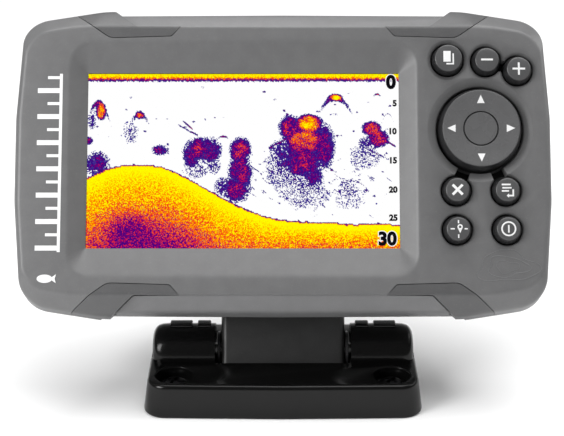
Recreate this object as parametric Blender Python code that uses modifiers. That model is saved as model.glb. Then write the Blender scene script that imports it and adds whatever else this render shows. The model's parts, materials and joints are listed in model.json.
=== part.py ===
"""Fish finder: a 4.3 inch sonar display with keys, held on a tilting quick-release bracket.

World frame: +X to the right of a user who faces the screen, +Y away from the user, +Z up.
The origin is the centre of the bracket's underside, on the surface that it is screwed to.
The display unit is designed in its own frame: u to the right, v up the face and w backwards
from the front face. unit_point() turns u, v, w into the unit frame's x, y, z.
"""
import math

import bmesh
import bpy
from mathutils import Vector

MM = 0.001

# ---- driving dimensions -------------------------------------------------------------------
LEAN = math.radians(29.2)            # how far the display leans back from upright at rest

CASE_HALF_W = 82.0 * MM              # at the rim, 12 mm behind the front face
CASE_HALF_H = 48.3 * MM
CREASE_HALF_W = 79.8 * MM            # the crease is the line round the flat front face
CREASE_HALF_H = 40.95 * MM
CASE_DEPTH = 40.0 * MM
CASE_WALL = 2.4 * MM
WALL_FLARE = 0.9 * MM                # how much the side walls widen from the chamfer to the rim
BEZEL_DEPTH = 4.8 * MM
BAND_STEP = 1.3 * MM                 # how far the middle band lies below the corner clips
CLIP_SKIN = 1.2 * MM

SCREEN_U = -12.1 * MM                # the screen is left of the middle, to make room for keys
SCREEN_V = 0.21 * MM
SCREEN_W = 95.04 * MM                # active area of a 4.3 inch 16:9 panel
SCREEN_H = 53.9 * MM
SCREEN_RECESS = 3.6 * MM             # how deep the slopes round the screen go
SLOPE_SIDE = 5.2 * MM
SLOPE_ENDS = 8.9 * MM

PAD_U = 59.6 * MM
PAD_V = 9.0 * MM
PAD_HOLE_R = 13.3 * MM

PIVOT_Y = -6.95 * MM                 # the tilt axis, in the world
PIVOT_Z = 10.5 * MM
PIVOT_W = 30.9 * MM                  # the same axis, in the unit's frame
PIVOT_V = -56.2 * MM
BARREL_R = 8.6 * MM                  # the rounded housing round the tilt axis
ARM_HALF_W = 19.35 * MM
ARM_HALF_T = 6.4 * MM
ARM_TOP_V = 6.0 * MM
ARM_EDGE_R = 2.0 * MM
CHANNEL_HALF_W = 21.0 * MM

BASE_HALF_W = 42.7 * MM              # at the bottom; the walls lean in towards the top
BASE_FRONT = 32.9 * MM               # from the mounting point to the front edge
BASE_BACK = 28.6 * MM                # and to the back edge, where the plate is thin and narrower
BASE_BACK_TAPER = 4.5 * MM
BASE_PLATE_H = 10.6 * MM
BASE_DRAFT = 1.2 * MM
SLOT_FLOOR = 1.9 * MM                # what is left of the plate under the arm's foot
SLOT_FRONT = 8.8 * MM                # from the tilt axis forwards to the slot's front wall
SLOT_BACK = 13.0 * MM
BASE_SCREW_X = 33.3 * MM
BASE_SCREW_FRONT = 23.9 * MM
BASE_SCREW_BACK = 18.4 * MM
BASE_SCREW_ROWS = ((-BASE_SCREW_FRONT, 6.4 * MM), (BASE_SCREW_BACK, 3.0 * MM))   # place and seat height

SOCKET_U = 42.0 * MM
SOCKET_V = 0.0

# Where the display unit's own frame stands in the world.
UNIT_Y = PIVOT_Y - PIVOT_W * math.cos(LEAN) - PIVOT_V * math.sin(LEAN)
UNIT_Z = PIVOT_Z + PIVOT_W * math.sin(LEAN) - PIVOT_V * math.cos(LEAN)

BOSS_R = 4.5 * MM                    # the screw bosses inside the rear housing

# Case screws: u and v of the four that hold the rear housing to the front bezel.
CASE_SCREWS = [(-75.8, 17.5), (75.8, 17.5), (-71.5, -32.0), (71.5, -32.0)]
BOARD_SCREWS = [(-60.0, 30.0), (60.0, 30.0), (-60.0, -30.0), (60.0, -30.0)]

# Round keys: name, u, v, radius of the opening, radius of the top face (millimetres).
ROUND_KEYS = [
    ("page_key", 50.0, 30.5, 5.1, 4.15),
    ("zoom_out_key", 61.65, 30.0, 4.75, 3.6),
    ("zoom_in_key", 71.2, 27.2, 4.75, 3.6),
    ("exit_key", 52.2, -9.7, 4.7, 3.55),
    ("menu_key", 67.15, -9.7, 4.7, 3.55),
    ("waypoint_key", 52.3, -21.5, 4.7, 3.55),
    ("power_key", 67.25, -21.5, 4.7, 3.55),
]


# ---- scene and materials ------------------------------------------------------------------
def empty_the_scene():
    """Remove whatever the file holds, so the model is built from nothing."""
    for old in list(bpy.data.objects):
        bpy.data.objects.remove(old, do_unlink=True)


def new_collection(name):
    """A collection linked to the scene."""
    made = bpy.data.collections.new(name)
    bpy.context.scene.collection.children.link(made)
    return made


def plain_material(name, colour, roughness, metallic=0.0, alpha=1.0):
    """One Principled BSDF material for one kind of plastic, rubber or metal."""
    made = bpy.data.materials.new(name)
    made.use_nodes = True
    shader = made.node_tree.nodes["Principled BSDF"]
    shader.inputs["Base Color"].default_value = (*colour, 1.0)
    shader.inputs["Roughness"].default_value = roughness
    shader.inputs["Metallic"].default_value = metallic
    shader.inputs["Alpha"].default_value = alpha
    return made


def make_materials():
    """Every finish on the object, by name."""
    return {
        "case_grey": plain_material("case_grey", (0.16, 0.16, 0.16), 0.5),
        "band_grey": plain_material("band_grey", (0.22, 0.22, 0.22), 0.45),
        "clip_grey": plain_material("clip_grey", (0.13, 0.13, 0.13), 0.45),
        "key_plastic": plain_material("key_plastic", (0.035, 0.035, 0.035), 0.4),
        "bracket_black": plain_material("bracket_black", (0.012, 0.012, 0.012), 0.35),
        "arm_black": plain_material("arm_black", (0.03, 0.03, 0.03), 0.5),
        "screen_glass": plain_material("screen_glass", (0.9, 0.9, 0.9), 0.05, 0.0, 0.35),
        "lcd_black": plain_material("lcd_black", (0.02, 0.02, 0.02), 0.2),
        "silicone": plain_material("silicone", (0.05, 0.05, 0.05), 0.7),
        "board_green": plain_material("board_green", (0.02, 0.12, 0.04), 0.5),
        "steel": plain_material("steel", (0.6, 0.6, 0.6), 0.3, 1.0),
        "tinned_steel": plain_material("tinned_steel", (0.7, 0.7, 0.68), 0.35, 1.0),
        "gold": plain_material("gold", (0.8, 0.6, 0.25), 0.25, 1.0),
        "ceramic": plain_material("ceramic", (0.6, 0.55, 0.45), 0.6),
        "acetal": plain_material("acetal", (0.8, 0.8, 0.78), 0.45),
        "flex_amber": plain_material("flex_amber", (0.5, 0.25, 0.05), 0.4),
    }


empty_the_scene()
PARTS = new_collection("fish_finder")
CUTTERS = new_collection("cutters")
MATERIALS = make_materials()


# ---- frames -------------------------------------------------------------------------------
def unit_point(u, v, w):
    """A point of the display unit (millimetres) in the unit frame: x right, y up, z to the user."""
    return Vector((u * MM, v * MM, -w * MM))


def new_empty(name, location, rotation=(0.0, 0.0, 0.0)):
    """An empty that carries pieces in a frame of their own."""
    frame = bpy.data.objects.new(name, None)
    frame.location = location
    frame.rotation_euler = rotation
    PARTS.objects.link(frame)
    return frame


UNIT = new_empty("unit_frame", (0.0, UNIT_Y, UNIT_Z), (math.pi / 2 - LEAN, 0.0, 0.0))
TILT = new_empty("tilt_axis", (0.0, PIVOT_Y, PIVOT_Z), (math.pi / 2 - LEAN, 0.0, 0.0))


# ---- shape helpers ------------------------------------------------------------------------
def place(mesh_or_bmesh, name, finish, parent=None, location=(0, 0, 0), rotation=(0, 0, 0)):
    """Make a named object of a mesh; finish is a material's name, or None for a cutter."""
    mesh = mesh_or_bmesh
    if isinstance(mesh_or_bmesh, bmesh.types.BMesh):
        mesh = bpy.data.meshes.new(name)
        mesh_or_bmesh.to_mesh(mesh)
        mesh_or_bmesh.free()
    made = bpy.data.objects.new(name, mesh)
    made.parent = parent
    made.location = location
    made.rotation_euler = rotation
    if finish is None:
        made.hide_render = True
        made.display_type = "WIRE"
        CUTTERS.objects.link(made)
    else:
        mesh.materials.append(MATERIALS[finish])
        PARTS.objects.link(made)
    return made


def smooth(made, angle=35.0):
    """Shade a round piece smooth, but keep its edges sharp."""
    made.data.shade_smooth()
    made.data.set_sharp_from_angle(angle=math.radians(angle))
    return made


def round_edges(made, width, segments=2, angle=40.0):
    """Round every edge that is sharper than the angle."""
    bevel = made.modifiers.new("rounded edges", "BEVEL")
    bevel.width = width
    bevel.segments = segments
    bevel.limit_method = "ANGLE"
    bevel.angle_limit = math.radians(angle)
    return made


def block(name, finish, size, centre, parent=None):
    """A box of the given size (metres) about its centre."""
    shape = bmesh.new()
    bmesh.ops.create_cube(shape, size=1.0)
    bmesh.ops.scale(shape, vec=size, verts=shape.verts)
    return place(shape, name, finish, parent, centre)


def unit_block(name, finish, low, high):
    """A box in the display unit between two corners given as u, v, w in millimetres."""
    first = unit_point(*low)
    last = unit_point(*high)
    size = [abs(last[axis] - first[axis]) for axis in range(3)]
    return block(name, finish, size, (first + last) / 2, UNIT)


def rod(name, finish, radius, length, centre, parent=None, rotation=(0, 0, 0), sides=24):
    """A cylinder about its centre, along its own z axis."""
    shape = bmesh.new()
    bmesh.ops.create_cone(shape, cap_ends=True, segments=sides, radius1=radius, radius2=radius,
                          depth=length)
    return smooth(place(shape, name, finish, parent, centre, rotation))


def unit_rod(name, finish, radius, u, v, w_front, w_back, sides=24):
    """A cylinder in the display unit that runs straight back from w_front to w_back."""
    centre = unit_point(u, v, (w_front + w_back) / 2)
    return rod(name, finish, radius, (w_back - w_front) * MM, centre, UNIT, sides=sides)


def turned(name, finish, profile, location, parent=None, rotation=(0, 0, 0), steps=24, hollow=False):
    """Turn a profile of (radius, height) points in millimetres, listed down the outer side.

    A hollow piece's profile joins its last point to its first, which makes a ring.
    """
    shape = bmesh.new()
    points = [shape.verts.new((radius * MM, 0.0, height * MM)) for radius, height in profile]
    for first, second in zip(points, points[1:]):
        shape.edges.new((first, second))
    if hollow:
        shape.edges.new((points[-1], points[0]))
    made = place(shape, name, finish, parent, location, rotation)
    screw = made.modifiers.new("turned", "SCREW")
    screw.steps = steps
    screw.render_steps = steps
    screw.use_merge_vertices = True
    screw.merge_threshold = 0.00001
    screw.use_smooth_shade = False
    return made


def loft(name, finish, rings, parent=None, location=(0, 0, 0), rotation=(0, 0, 0), ring_closed=False):
    """Skin over unlike sections of equal point counts, with flat ends or closed on itself."""
    shape = bmesh.new()
    rows = [[shape.verts.new(point) for point in ring] for ring in rings]
    pairs = list(zip(rows, rows[1:]))
    if ring_closed:
        pairs.append((rows[-1], rows[0]))
    else:
        shape.faces.new(rows[0])
        shape.faces.new(list(reversed(rows[-1])))
    for near, far in pairs:
        for step, point in enumerate(near):
            after = (step + 1) % len(near)
            shape.faces.new((far[step], far[after], near[after], point))
    bmesh.ops.recalc_face_normals(shape, faces=shape.faces)
    return place(shape, name, finish, parent, location, rotation)


def combine(made, other, operation):
    """Add a Boolean that uses another object; EXACT is the solver."""
    step = made.modifiers.new(operation.lower(), "BOOLEAN")
    step.operation = operation
    step.object = other
    step.solver = "EXACT"
    return made


def cut(made, *cutters):
    """Cut each cutter out of a piece."""
    for cutter in cutters:
        combine(made, cutter, "DIFFERENCE")
    return made


# ---- outlines -----------------------------------------------------------------------------
def rounded_loop(corners, arc_steps):
    """Points and outward normals of a closed polygon whose corners are rounded.

    corners holds x, y, radius counter-clockwise. A corner with radius 0 gives one point.
    """
    loop = []
    count = len(corners)
    for index, (x, y, radius) in enumerate(corners):
        here = Vector((x, y))
        before = (here - Vector(corners[index - 1][:2])).normalized()
        after = (Vector(corners[(index + 1) % count][:2]) - here).normalized()
        start_normal = Vector((before.y, -before.x))
        end_normal = Vector((after.y, -after.x))
        if radius == 0:
            loop.append((here, (start_normal + end_normal).normalized()))
            continue
        turn = start_normal.angle_signed(end_normal, 0.0) * -1.0
        reach = radius * math.tan(turn / 2)
        centre = here - before * reach - start_normal * radius
        for step in range(arc_steps + 1):
            angle = turn * step / arc_steps
            spin = (math.cos(angle), math.sin(angle))
            normal = Vector((start_normal.x * spin[0] - start_normal.y * spin[1],
                             start_normal.x * spin[1] + start_normal.y * spin[0]))
            loop.append((centre + normal * radius, normal))
    return loop


def mirrored_quarter(quarter):
    """A whole outline from its upper right quarter, listed from the side to the top."""
    left = [(-x, y, radius) for x, y, radius in reversed(quarter) if x > 0]
    upper = quarter + left
    lower = [(-x, -y, radius) for x, y, radius in upper]
    return upper + lower


# The outlines share one list of corners: side, corner, the two sides of the clip's step, top.
CASE_W = CASE_HALF_W / MM
CASE_H = CASE_HALF_H / MM
CREASE_W = CREASE_HALF_W / MM
CREASE_H = CREASE_HALF_H / MM
CASE_CORNERS = mirrored_quarter([
    (CASE_W, 13.0, 40.0), (CASE_W - 2.3, CASE_H - 4.2, 10.0), (64.6, CASE_H - 1.81, 0),
    (63.8, CASE_H - 1.69, 0), (55.0, CASE_H - 0.3, 30.0), (0.0, CASE_H, 0)])
CREASE_CORNERS = mirrored_quarter([
    (CREASE_W, 13.0, 40.0), (CREASE_W - 2.0, CREASE_H - 2.35, 9.0), (64.6, CREASE_H - 0.25, 0),
    (63.8, CREASE_H - 0.17, 0), (57.0, CREASE_H + 0.15, 30.0), (0.0, CREASE_H, 0)])
ARC_STEPS = 3
CASE_LOOP = rounded_loop(CASE_CORNERS, ARC_STEPS)
CREASE_LOOP = rounded_loop(CREASE_CORNERS, ARC_STEPS)


def rear_loop(half_w, half_h, radius):
    """A plain rounded section of the case's back, with the same corners in the same order."""
    return rounded_loop(mirrored_quarter([
        (half_w, half_h * 0.3, 30.0), (half_w - 0.8, half_h - 0.4, radius),
        (half_w * 0.8, half_h - 0.2, 0), (half_w * 0.78, half_h - 0.18, 0),
        (half_w * 0.6, half_h, 20.0), (0.0, half_h, 0)]), ARC_STEPS)


def ring_at(loop, w, inset, step=0.0):
    """One section of the case: a loop moved inwards by inset at depth w (millimetres).

    step lowers the stretch between the corner clips, where the loop's |x| is under 64.
    """
    ring = []
    for point, normal in loop:
        in_band = abs(point.x) < 64.0 and abs(point.y) > 30.0
        total = inset + (step if in_band else 0.0)
        moved = point - normal * total
        ring.append(unit_point(moved.x, moved.y, w))
    return ring


def chamfer_ring(inset, step, extra_depth=0.0):
    """The back edge of the case's front chamfer: deep along top and bottom, shallow at the sides."""
    ring = []
    for point, normal in CASE_LOOP:
        in_band = abs(point.x) < 64.0 and abs(point.y) > 30.0
        moved = point - normal * (inset + WALL_FLARE / MM + (step if in_band else 0.0))
        depth = 1.4 + 4.2 * abs(normal.y) ** 1.5 + extra_depth
        ring.append(unit_point(moved.x, moved.y, depth))
    return ring


def case_front_solid(name, inset, front_w):
    """The whole front of the case as one solid, inset all round; only used to shape other pieces."""
    rings = [
        ring_at(CREASE_LOOP, front_w, inset * 0.4),
        chamfer_ring(inset, 0.0, inset * 0.4),
        ring_at(CASE_LOOP, 10.2, inset + WALL_FLARE / MM * 0.28),
    ]
    return loft(name, None, rings, UNIT)


# ---- corner clips -------------------------------------------------------------------------
CLIP_OUTLINE = [(69.5, 50.5), (57.6, 41.0), (55.0, 39.0), (52.4, 37.8), (49.5, 37.5),
                (34.2, 38.0), (32.6, 38.9), (31.2, 41.0), (44.8, 41.0), (55.6, 50.5)]


def clip_prism(name, side, end, grow):
    """The clip's outline as seen from the front, as a straight prism through the case's front."""
    corners = [(u * side, v * end, 0) for u, v in CLIP_OUTLINE]
    if side * end > 0:
        corners = corners[::-1]
    rings = []
    for w in (-2.0, 9.8 + grow):
        ring = []
        for point, normal in rounded_loop(corners, 1):
            moved = point + normal * grow
            ring.append(unit_point(moved.x, moved.y, w))
        rings.append(ring)
    return loft(name, None, rings, UNIT)


def corner_clip(name, side, end, skin, core):
    """A trim clip that wraps from the front face over the chamfer to the edge of the case."""
    prism = clip_prism(name, side, end, 0.0)
    CUTTERS.objects.unlink(prism)
    PARTS.objects.link(prism)
    prism.hide_render = False
    prism.display_type = "TEXTURED"
    prism.data.materials.append(MATERIALS["clip_grey"])
    combine(prism, skin, "INTERSECT")
    return cut(prism, core)


# ---- case ---------------------------------------------------------------------------------
def clip_pocket(name, side, end, floor):
    """The pocket that a clip sits in: its outline grown by the fit gap, down to the floor."""
    return cut(clip_prism(name, side, end, 0.3), floor)


def rounded_rectangle(half_w, half_h, radius, centre, w, steps=3):
    """A ring of points round a rectangle with rounded corners at depth w (millimetres)."""
    corners = [(half_w, -half_h, radius), (half_w, half_h, radius),
               (-half_w, half_h, radius), (-half_w, -half_h, radius)]
    return [unit_point(centre[0] + point.x, centre[1] + point.y, w)
            for point, normal in rounded_loop(corners, steps)]


def screen_recess():
    """The sloping well round the screen, with rounded outer corners and sharp inner ones."""
    centre = (SCREEN_U / MM, SCREEN_V / MM)
    half_w = SCREEN_W / MM / 2
    half_h = SCREEN_H / MM / 2
    depth = SCREEN_RECESS / MM
    above = 0.5
    flare = (depth + above) / depth
    outer = rounded_rectangle(half_w + SLOPE_SIDE / MM * flare, half_h + SLOPE_ENDS / MM * flare,
                              7.5, centre, -above)
    inner = rounded_rectangle(half_w, half_h, 0.5, centre, depth)
    through = rounded_rectangle(half_w, half_h, 0.5, centre, BEZEL_DEPTH / MM + 1.0)
    return loft("cut_screen_recess", None, [outer, inner, through], UNIT)


def front_bezel(pockets):
    """The front face: a plate with the screen well, the key openings and the screw holes."""
    rings = [
        ring_at(CREASE_LOOP, 0.0, 0.7),
        ring_at(CREASE_LOOP, 0.35, 0.3),
        ring_at(CREASE_LOOP, BEZEL_DEPTH / MM, 0.3),
    ]
    bezel = loft("front_bezel", "case_grey", rings, UNIT)
    cut(bezel, screen_recess())
    centre = (SCREEN_U / MM, SCREEN_V / MM)
    window_seat = unit_block("cut_window_seat", None, (centre[0] - 50.6, centre[1] - 30.2, 4.0),
                             (centre[0] + 50.6, centre[1] + 30.2, BEZEL_DEPTH / MM + 1.0))
    cut(bezel, window_seat)
    for name, u, v, opening, _ in ROUND_KEYS:
        cut(bezel, unit_rod("cut_" + name, None, opening * MM, u, v, -1.0, 6.0))
    cut(bezel, unit_rod("cut_pad", None, PAD_HOLE_R, PAD_U / MM, PAD_V / MM, -1.0, 6.0, 40))
    for number, (u, v) in enumerate(CASE_SCREWS):
        cut(bezel, unit_rod("cut_bezel_screw_%d" % number, None, 1.6 * MM, u, v, 2.2, 6.0, 12))
    return cut(bezel, *pockets)


def housing_cavity():
    """The space inside the rear housing, less the block that carries the arm's channel."""
    wall = CASE_WALL / MM
    rings = [
        ring_at(CREASE_LOOP, -1.0, 0.0),
        ring_at(CREASE_LOOP, 5.9, 0.0),
        ring_at(CREASE_LOOP, 5.91, 2.2),
        ring_at(CREASE_LOOP, 11.0, 2.2),
        ring_at(rear_loop(65.5 - wall, 31.7 - wall, 5.5), 30.0, 0.0),
        ring_at(rear_loop(62.0 - wall, 28.2 - wall, 5.0), CASE_DEPTH / MM - wall, 0.0),
    ]
    cavity = loft("cut_cavity", None, rings, UNIT)
    cut(cavity, unit_block("keep_channel", None, (-25.0, -60.0, 21.2), (25.0, 12.8, 45.0)))
    for number, (u, v) in enumerate(CASE_SCREWS):
        cut(cavity, unit_rod("keep_boss_%d" % number, None, BOSS_R, u, v, 5.9, 45.0))
    return cavity


def arm_channel():
    """The slot down the back of the unit that the tilt arm slides into, and its side grooves."""
    half = CHANNEL_HALF_W / MM
    slot = unit_block("cut_channel", None, (-half, -60.0, 23.6), (half, 10.2, 37.7))
    grooves = unit_block("cut_grooves", None, (-half - 1.6, -60.0, 28.5), (half + 1.6, 10.2, 33.5))
    mouth = unit_block("cut_channel_mouth", None, (-half, -60.0, 30.0), (half, -24.0, 45.0))
    window = unit_block("cut_latch_window", None, (-half + 6, -12.0, 30.0), (half - 6, 8.0, 45.0))
    return [slot, grooves, mouth, window]


def rear_housing(pockets):
    """The rear shell: the chamfered band round the front, the sloping sides and the flat back.

    Its front edge stands a little outside the crease, so the cavity leaves a real rim there.
    """
    step = BAND_STEP / MM
    rings = [
        ring_at(CREASE_LOOP, 0.25, -0.5),
        chamfer_ring(0.0, step),
        ring_at(CASE_LOOP, 12.0, 0.0, step),
        ring_at(CASE_LOOP, 13.5, 0.9, step),
        ring_at(CASE_LOOP, 16.0, 3.3, step * 0.8),
        ring_at(rear_loop(65.5, 31.7, 5.5), 30.0, 0.0),
        ring_at(rear_loop(62.0, 28.2, 5.0), 38.0, 0.0),
        ring_at(rear_loop(60.0, 26.1, 4.0), CASE_DEPTH / MM, 0.0),
    ]
    housing = loft("rear_housing", "band_grey", rings, UNIT)
    cut(housing, housing_cavity(), *arm_channel())
    for number, (u, v) in enumerate(CASE_SCREWS):
        cut(housing, unit_rod("cut_screw_well_%d" % number, None, 3.4 * MM, u, v, 13.5, 45.0, 16))
        cut(housing, unit_rod("cut_screw_hole_%d" % number, None, 1.7 * MM, u, v, 5.0, 20.0, 12))
    cut(housing, unit_rod("cut_socket", None, 10.3 * MM, SOCKET_U / MM, SOCKET_V / MM, 34.0, 45.0, 32))
    cut(housing, unit_rod("cut_vent", None, 3.9 * MM, -42.0, 12.0, 34.0, 45.0, 16))
    return cut(housing, *pockets)


def housing_seal():
    """The gasket squeezed between the bezel and the rear housing's ledge."""
    rings = [
        ring_at(CREASE_LOOP, 5.1, 0.4),
        ring_at(CREASE_LOOP, 5.6, 0.4),
        ring_at(CREASE_LOOP, 5.6, 1.9),
        ring_at(CREASE_LOOP, 5.1, 1.9),
    ]
    return loft("housing_seal", "silicone", rings, UNIT, ring_closed=True)


# ---- screen -------------------------------------------------------------------------------
def screen_stack():
    """The clear window, the display panel, its metal tray and the ribbon to the board."""
    u = SCREEN_U / MM
    v = SCREEN_V / MM
    unit_block("screen_window", "screen_glass", (u - 50.2, v - 29.8, 4.3), (u + 50.2, v + 29.8, 5.2))
    unit_block("lcd_panel", "lcd_black", (u - 49.4, v - 29.0, 5.5), (u + 49.4, v + 29.0, 8.1))
    tray = unit_block("backlight_tray", "tinned_steel", (u - 50.0, v - 30.0, 8.4), (u + 50.0, v + 30.0, 10.4))
    hollow = unit_block("cut_tray", None, (u - 48.5, v - 28.5, 9.4), (u + 48.5, v + 28.5, 12.0))
    cut(tray, hollow)
    unit_block("lcd_ribbon", "flex_amber", (u - 10.0, -30.6, 10.7), (u + 10.0, -22.0, 11.0))


# ---- keys ---------------------------------------------------------------------------------
def round_key(name, u, v, opening, face):
    """A crowned key cap with a skirt, and a flange that stops it from coming out."""
    skirt = opening - 0.4
    flange = skirt + (0.15 if name.startswith("zoom") else 0.75)
    profile = [(0.0, 2.75), (face * 0.7, 2.62), (face, 2.3), (skirt - 0.15, 0.6), (skirt, -0.4),
               (skirt, -5.2), (flange, -5.2), (flange, -6.0), (0.0, -6.0)]
    turned(name, "key_plastic", profile, unit_point(u, v, 0.0), UNIT, steps=20)


def direction_pad():
    """The round four-way pad with its dished middle; it rocks on the gimbal below it."""
    profile = [(0.0, 2.1), (4.9, 2.2), (5.05, 2.0), (5.2, 2.25), (11.2, 2.65), (11.8, 2.3),
               (12.6, 0.6), (12.8, -0.6), (12.8, -5.5), (13.4, -5.5), (13.4, -6.1), (0.0, -6.1)]
    turned("direction_pad", "key_plastic", profile, unit_point(PAD_U / MM, PAD_V / MM, 0.0), UNIT,
           steps=32)
    turned("pad_gimbal", "acetal", [(0.0, -6.5), (1.2, -6.5), (3.0, -7.0), (3.0, -7.3), (0.0, -7.3)],
           unit_point(PAD_U / MM, PAD_V / MM, 0.0), UNIT, steps=16)


def keypad():
    """The rubber mat under the keys and the small board with their contacts."""
    mat = unit_block("keypad_mat", "silicone", (44.0, -28.0, 7.7), (74.6, 33.5, 8.4))
    board = unit_block("key_board", "board_green", (44.0, -28.0, 8.8), (74.6, 33.5, 9.8))
    for number, (u, v) in enumerate(CASE_SCREWS[1::2]):
        notch = unit_rod("cut_boss_notch_%d" % number, None, BOSS_R + 0.4 * MM, u, v, 7.0, 10.5)
        cut(mat, notch)
        cut(board, notch)


# ---- electronics --------------------------------------------------------------------------
def pan_screw(name, finish, u, v, head_w, tip_w, head_r, shank_r):
    """A pan-head screw that points forwards from a head at head_w, with a cross recess."""
    length = head_w - tip_w
    profile = [(0.0, 0.0), (shank_r * 0.6, 0.0), (shank_r, -0.5), (shank_r, -length),
               (head_r, -length), (head_r, -length - 1.1), (head_r * 0.7, -length - 1.9),
               (0.0, -length - 2.1)]
    made = turned(name, finish, profile, unit_point(u, v, tip_w), UNIT, steps=12)
    slot_depth = 2.1 + length
    for number, (long_u, long_v) in enumerate([(1.0, 0.22), (0.22, 1.0)]):
        size = (2 * head_r * 0.62 * long_u * MM, 2 * head_r * 0.62 * long_v * MM, 2.0 * MM)
        centre = unit_point(u, v, tip_w + slot_depth)
        cut(made, block("cut_%s_%d" % (name, number), None, size, centre, UNIT))
    return made


def electronics():
    """The main board and what stands on it."""
    board = unit_block("main_board", "board_green", (-64.0, -34.0, 12.0), (64.0, 34.0, 13.6))
    for number, (u, v) in enumerate(BOARD_SCREWS):
        cut(board, unit_rod("cut_board_%d" % number, None, 1.7 * MM, u, v, 11.0, 15.0, 12))
        pan_screw("board_screw_%d" % (number + 1), "steel", u, v, 14.0, 11.2, 2.6, 1.3)
    unit_block("gps_antenna", "ceramic", (-52.0, 4.0, 13.9), (-27.0, 29.0, 18.2))
    can = unit_block("sonar_shield_can", "tinned_steel", (10.0, -22.0, 13.9), (44.0, 8.0, 17.4))
    round_edges(can, 0.5 * MM, 1)
    chip_can = unit_block("processor_can", "tinned_steel", (-18.0, -20.0, 13.9), (4.0, 2.0, 16.4))
    round_edges(chip_can, 0.4 * MM, 1)
    unit_rod("buzzer", "lcd_black", 6.0 * MM, -40.0, -18.0, 13.9, 19.0)


def socket():
    """The round power and sonar socket on the back, with its insert, pins, seal and nut."""
    u = SOCKET_U / MM
    v = SOCKET_V / MM
    centre = unit_point(u, v, 0.0)
    shell = [(0.0, -27.3), (10.0, -27.3), (10.0, -41.3), (12.4, -41.3), (12.4, -42.4), (11.9, -43.4),
             (8.3, -43.4), (8.0, -43.1), (8.0, -30.0), (0.0, -30.0)]
    turned("socket_shell", "lcd_black", shell, centre, UNIT, steps=24)
    insert = unit_rod("socket_insert", "acetal", 7.6 * MM, u, v, 30.3, 32.3)
    seal = [(10.4, -40.3), (12.2, -40.3), (12.2, -41.0), (10.4, -41.0)]
    turned("socket_seal", "silicone", seal, centre, UNIT, hollow=True)
    nut = [(10.3, -34.6), (12.6, -34.6), (12.6, -37.2), (10.3, -37.2)]
    turned("socket_nut", "lcd_black", nut, centre, UNIT, hollow=True)
    for number in range(5):
        angle = math.radians(90 + 72 * number)
        pin_u = u + 4.2 * math.cos(angle)
        pin_v = v + 4.2 * math.sin(angle)
        cut(insert, unit_rod("cut_pin_%d" % number, None, 0.95 * MM, pin_u, pin_v, 29.0, 34.0, 10))
        unit_rod("socket_pin_%d" % (number + 1), "gold", 0.6 * MM, pin_u, pin_v, 30.4, 35.3, 8)


def vent_plug():
    """The breather plug that lets the sealed case equalise."""
    profile = [(0.0, -38.0), (3.5, -38.0), (3.5, -40.3), (5.0, -40.3), (5.0, -40.9), (4.4, -41.4),
               (0.0, -41.4)]
    turned("vent_plug", "lcd_black", profile, unit_point(-42.0, 12.0, 0.0), UNIT, steps=16)


# ---- tilt arm -----------------------------------------------------------------------------
def arm_point(u, v, w):
    """A point of the unit (millimetres) in the tilt axis's frame."""
    return unit_point(u, v - PIVOT_V / MM, w - PIVOT_W / MM)


def arm_block(name, finish, low, high):
    """A box in the arm between two corners given as the unit's u, v, w in millimetres."""
    first = arm_point(*low)
    last = arm_point(*high)
    size = [abs(last[axis] - first[axis]) for axis in range(3)]
    return block(name, finish, size, (first + last) / 2, TILT)


def tilt_arm():
    """The stem: a squared foot round the tilt axis, side rails and the release button's pocket."""
    half_w = ARM_HALF_W / MM
    front = (PIVOT_W - ARM_HALF_T) / MM
    back = (PIVOT_W + ARM_HALF_T) / MM
    foot_v = (PIVOT_V - ARM_HALF_T) / MM
    top_v = ARM_TOP_V / MM
    arm = arm_block("tilt_arm", "arm_black", (-half_w, foot_v, front), (half_w, top_v, back))
    corner = arm.modifiers.new("rounded edges", "BEVEL")
    corner.width = ARM_EDGE_R
    corner.segments = 3
    rail_w = ((back + front) / 2 - 2.0, (back + front) / 2 + 2.0)
    rails = arm_block("join_rails", None, (-half_w - 1.9, -34.0, rail_w[0]),
                      (half_w + 1.9, top_v - 3.0, rail_w[1]))
    combine(arm, rails, "UNION")
    pocket = arm_block("cut_button_pocket", None, (-7.0, -10.6, 28.4), (7.0, 3.0, 40.0))
    hollow = arm_block("cut_arm_back", None, (-14.5, -44.0, 28.4), (14.5, -15.0, 40.0))
    bore = rod("cut_arm_bore", None, 2.6 * MM, 60 * MM, (0, 0, 0), TILT, (0, math.pi / 2, 0), 24)
    return cut(arm, pocket, hollow, bore)


def release_button():
    """The push button that frees the unit from the arm, and the coil spring behind it."""
    button = arm_block("release_button", "case_grey", (-6.6, -10.2, 33.2), (6.6, 2.6, 37.1))
    round_edges(button, 0.6 * MM)
    ribs = []
    for number in range(4):
        v = -8.4 + 3.0 * number
        ribs.append(arm_block("cut_grip_%d" % number, None, (-4.6, v, 36.4), (4.6, v + 1.2, 38.0)))
    cut(button, *ribs)
    release_spring()


def release_spring():
    """A short coil spring between the button and the pocket's floor."""
    turns = 3
    points_per_turn = 10
    radius = 2.6 * MM
    wire = 0.25 * MM
    low = 28.7 + wire / MM
    high = 32.9 - wire / MM
    curve = bpy.data.curves.new("release_spring", "CURVE")
    curve.dimensions = "3D"
    curve.bevel_depth = wire
    curve.bevel_resolution = 1
    curve.use_fill_caps = True
    line = curve.splines.new("POLY")
    count = turns * points_per_turn + 1
    line.points.add(count - 1)
    for index in range(count):
        angle = 2 * math.pi * index / points_per_turn
        middle = arm_point(0.0, -3.8, low + (high - low) * index / (count - 1))
        point = middle + Vector((radius * math.cos(angle), radius * math.sin(angle), 0.0))
        line.points[index].co = (*point, 1.0)
    made = bpy.data.objects.new("release_spring", curve)
    made.parent = TILT
    curve.materials.append(MATERIALS["steel"])
    PARTS.objects.link(made)


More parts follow.
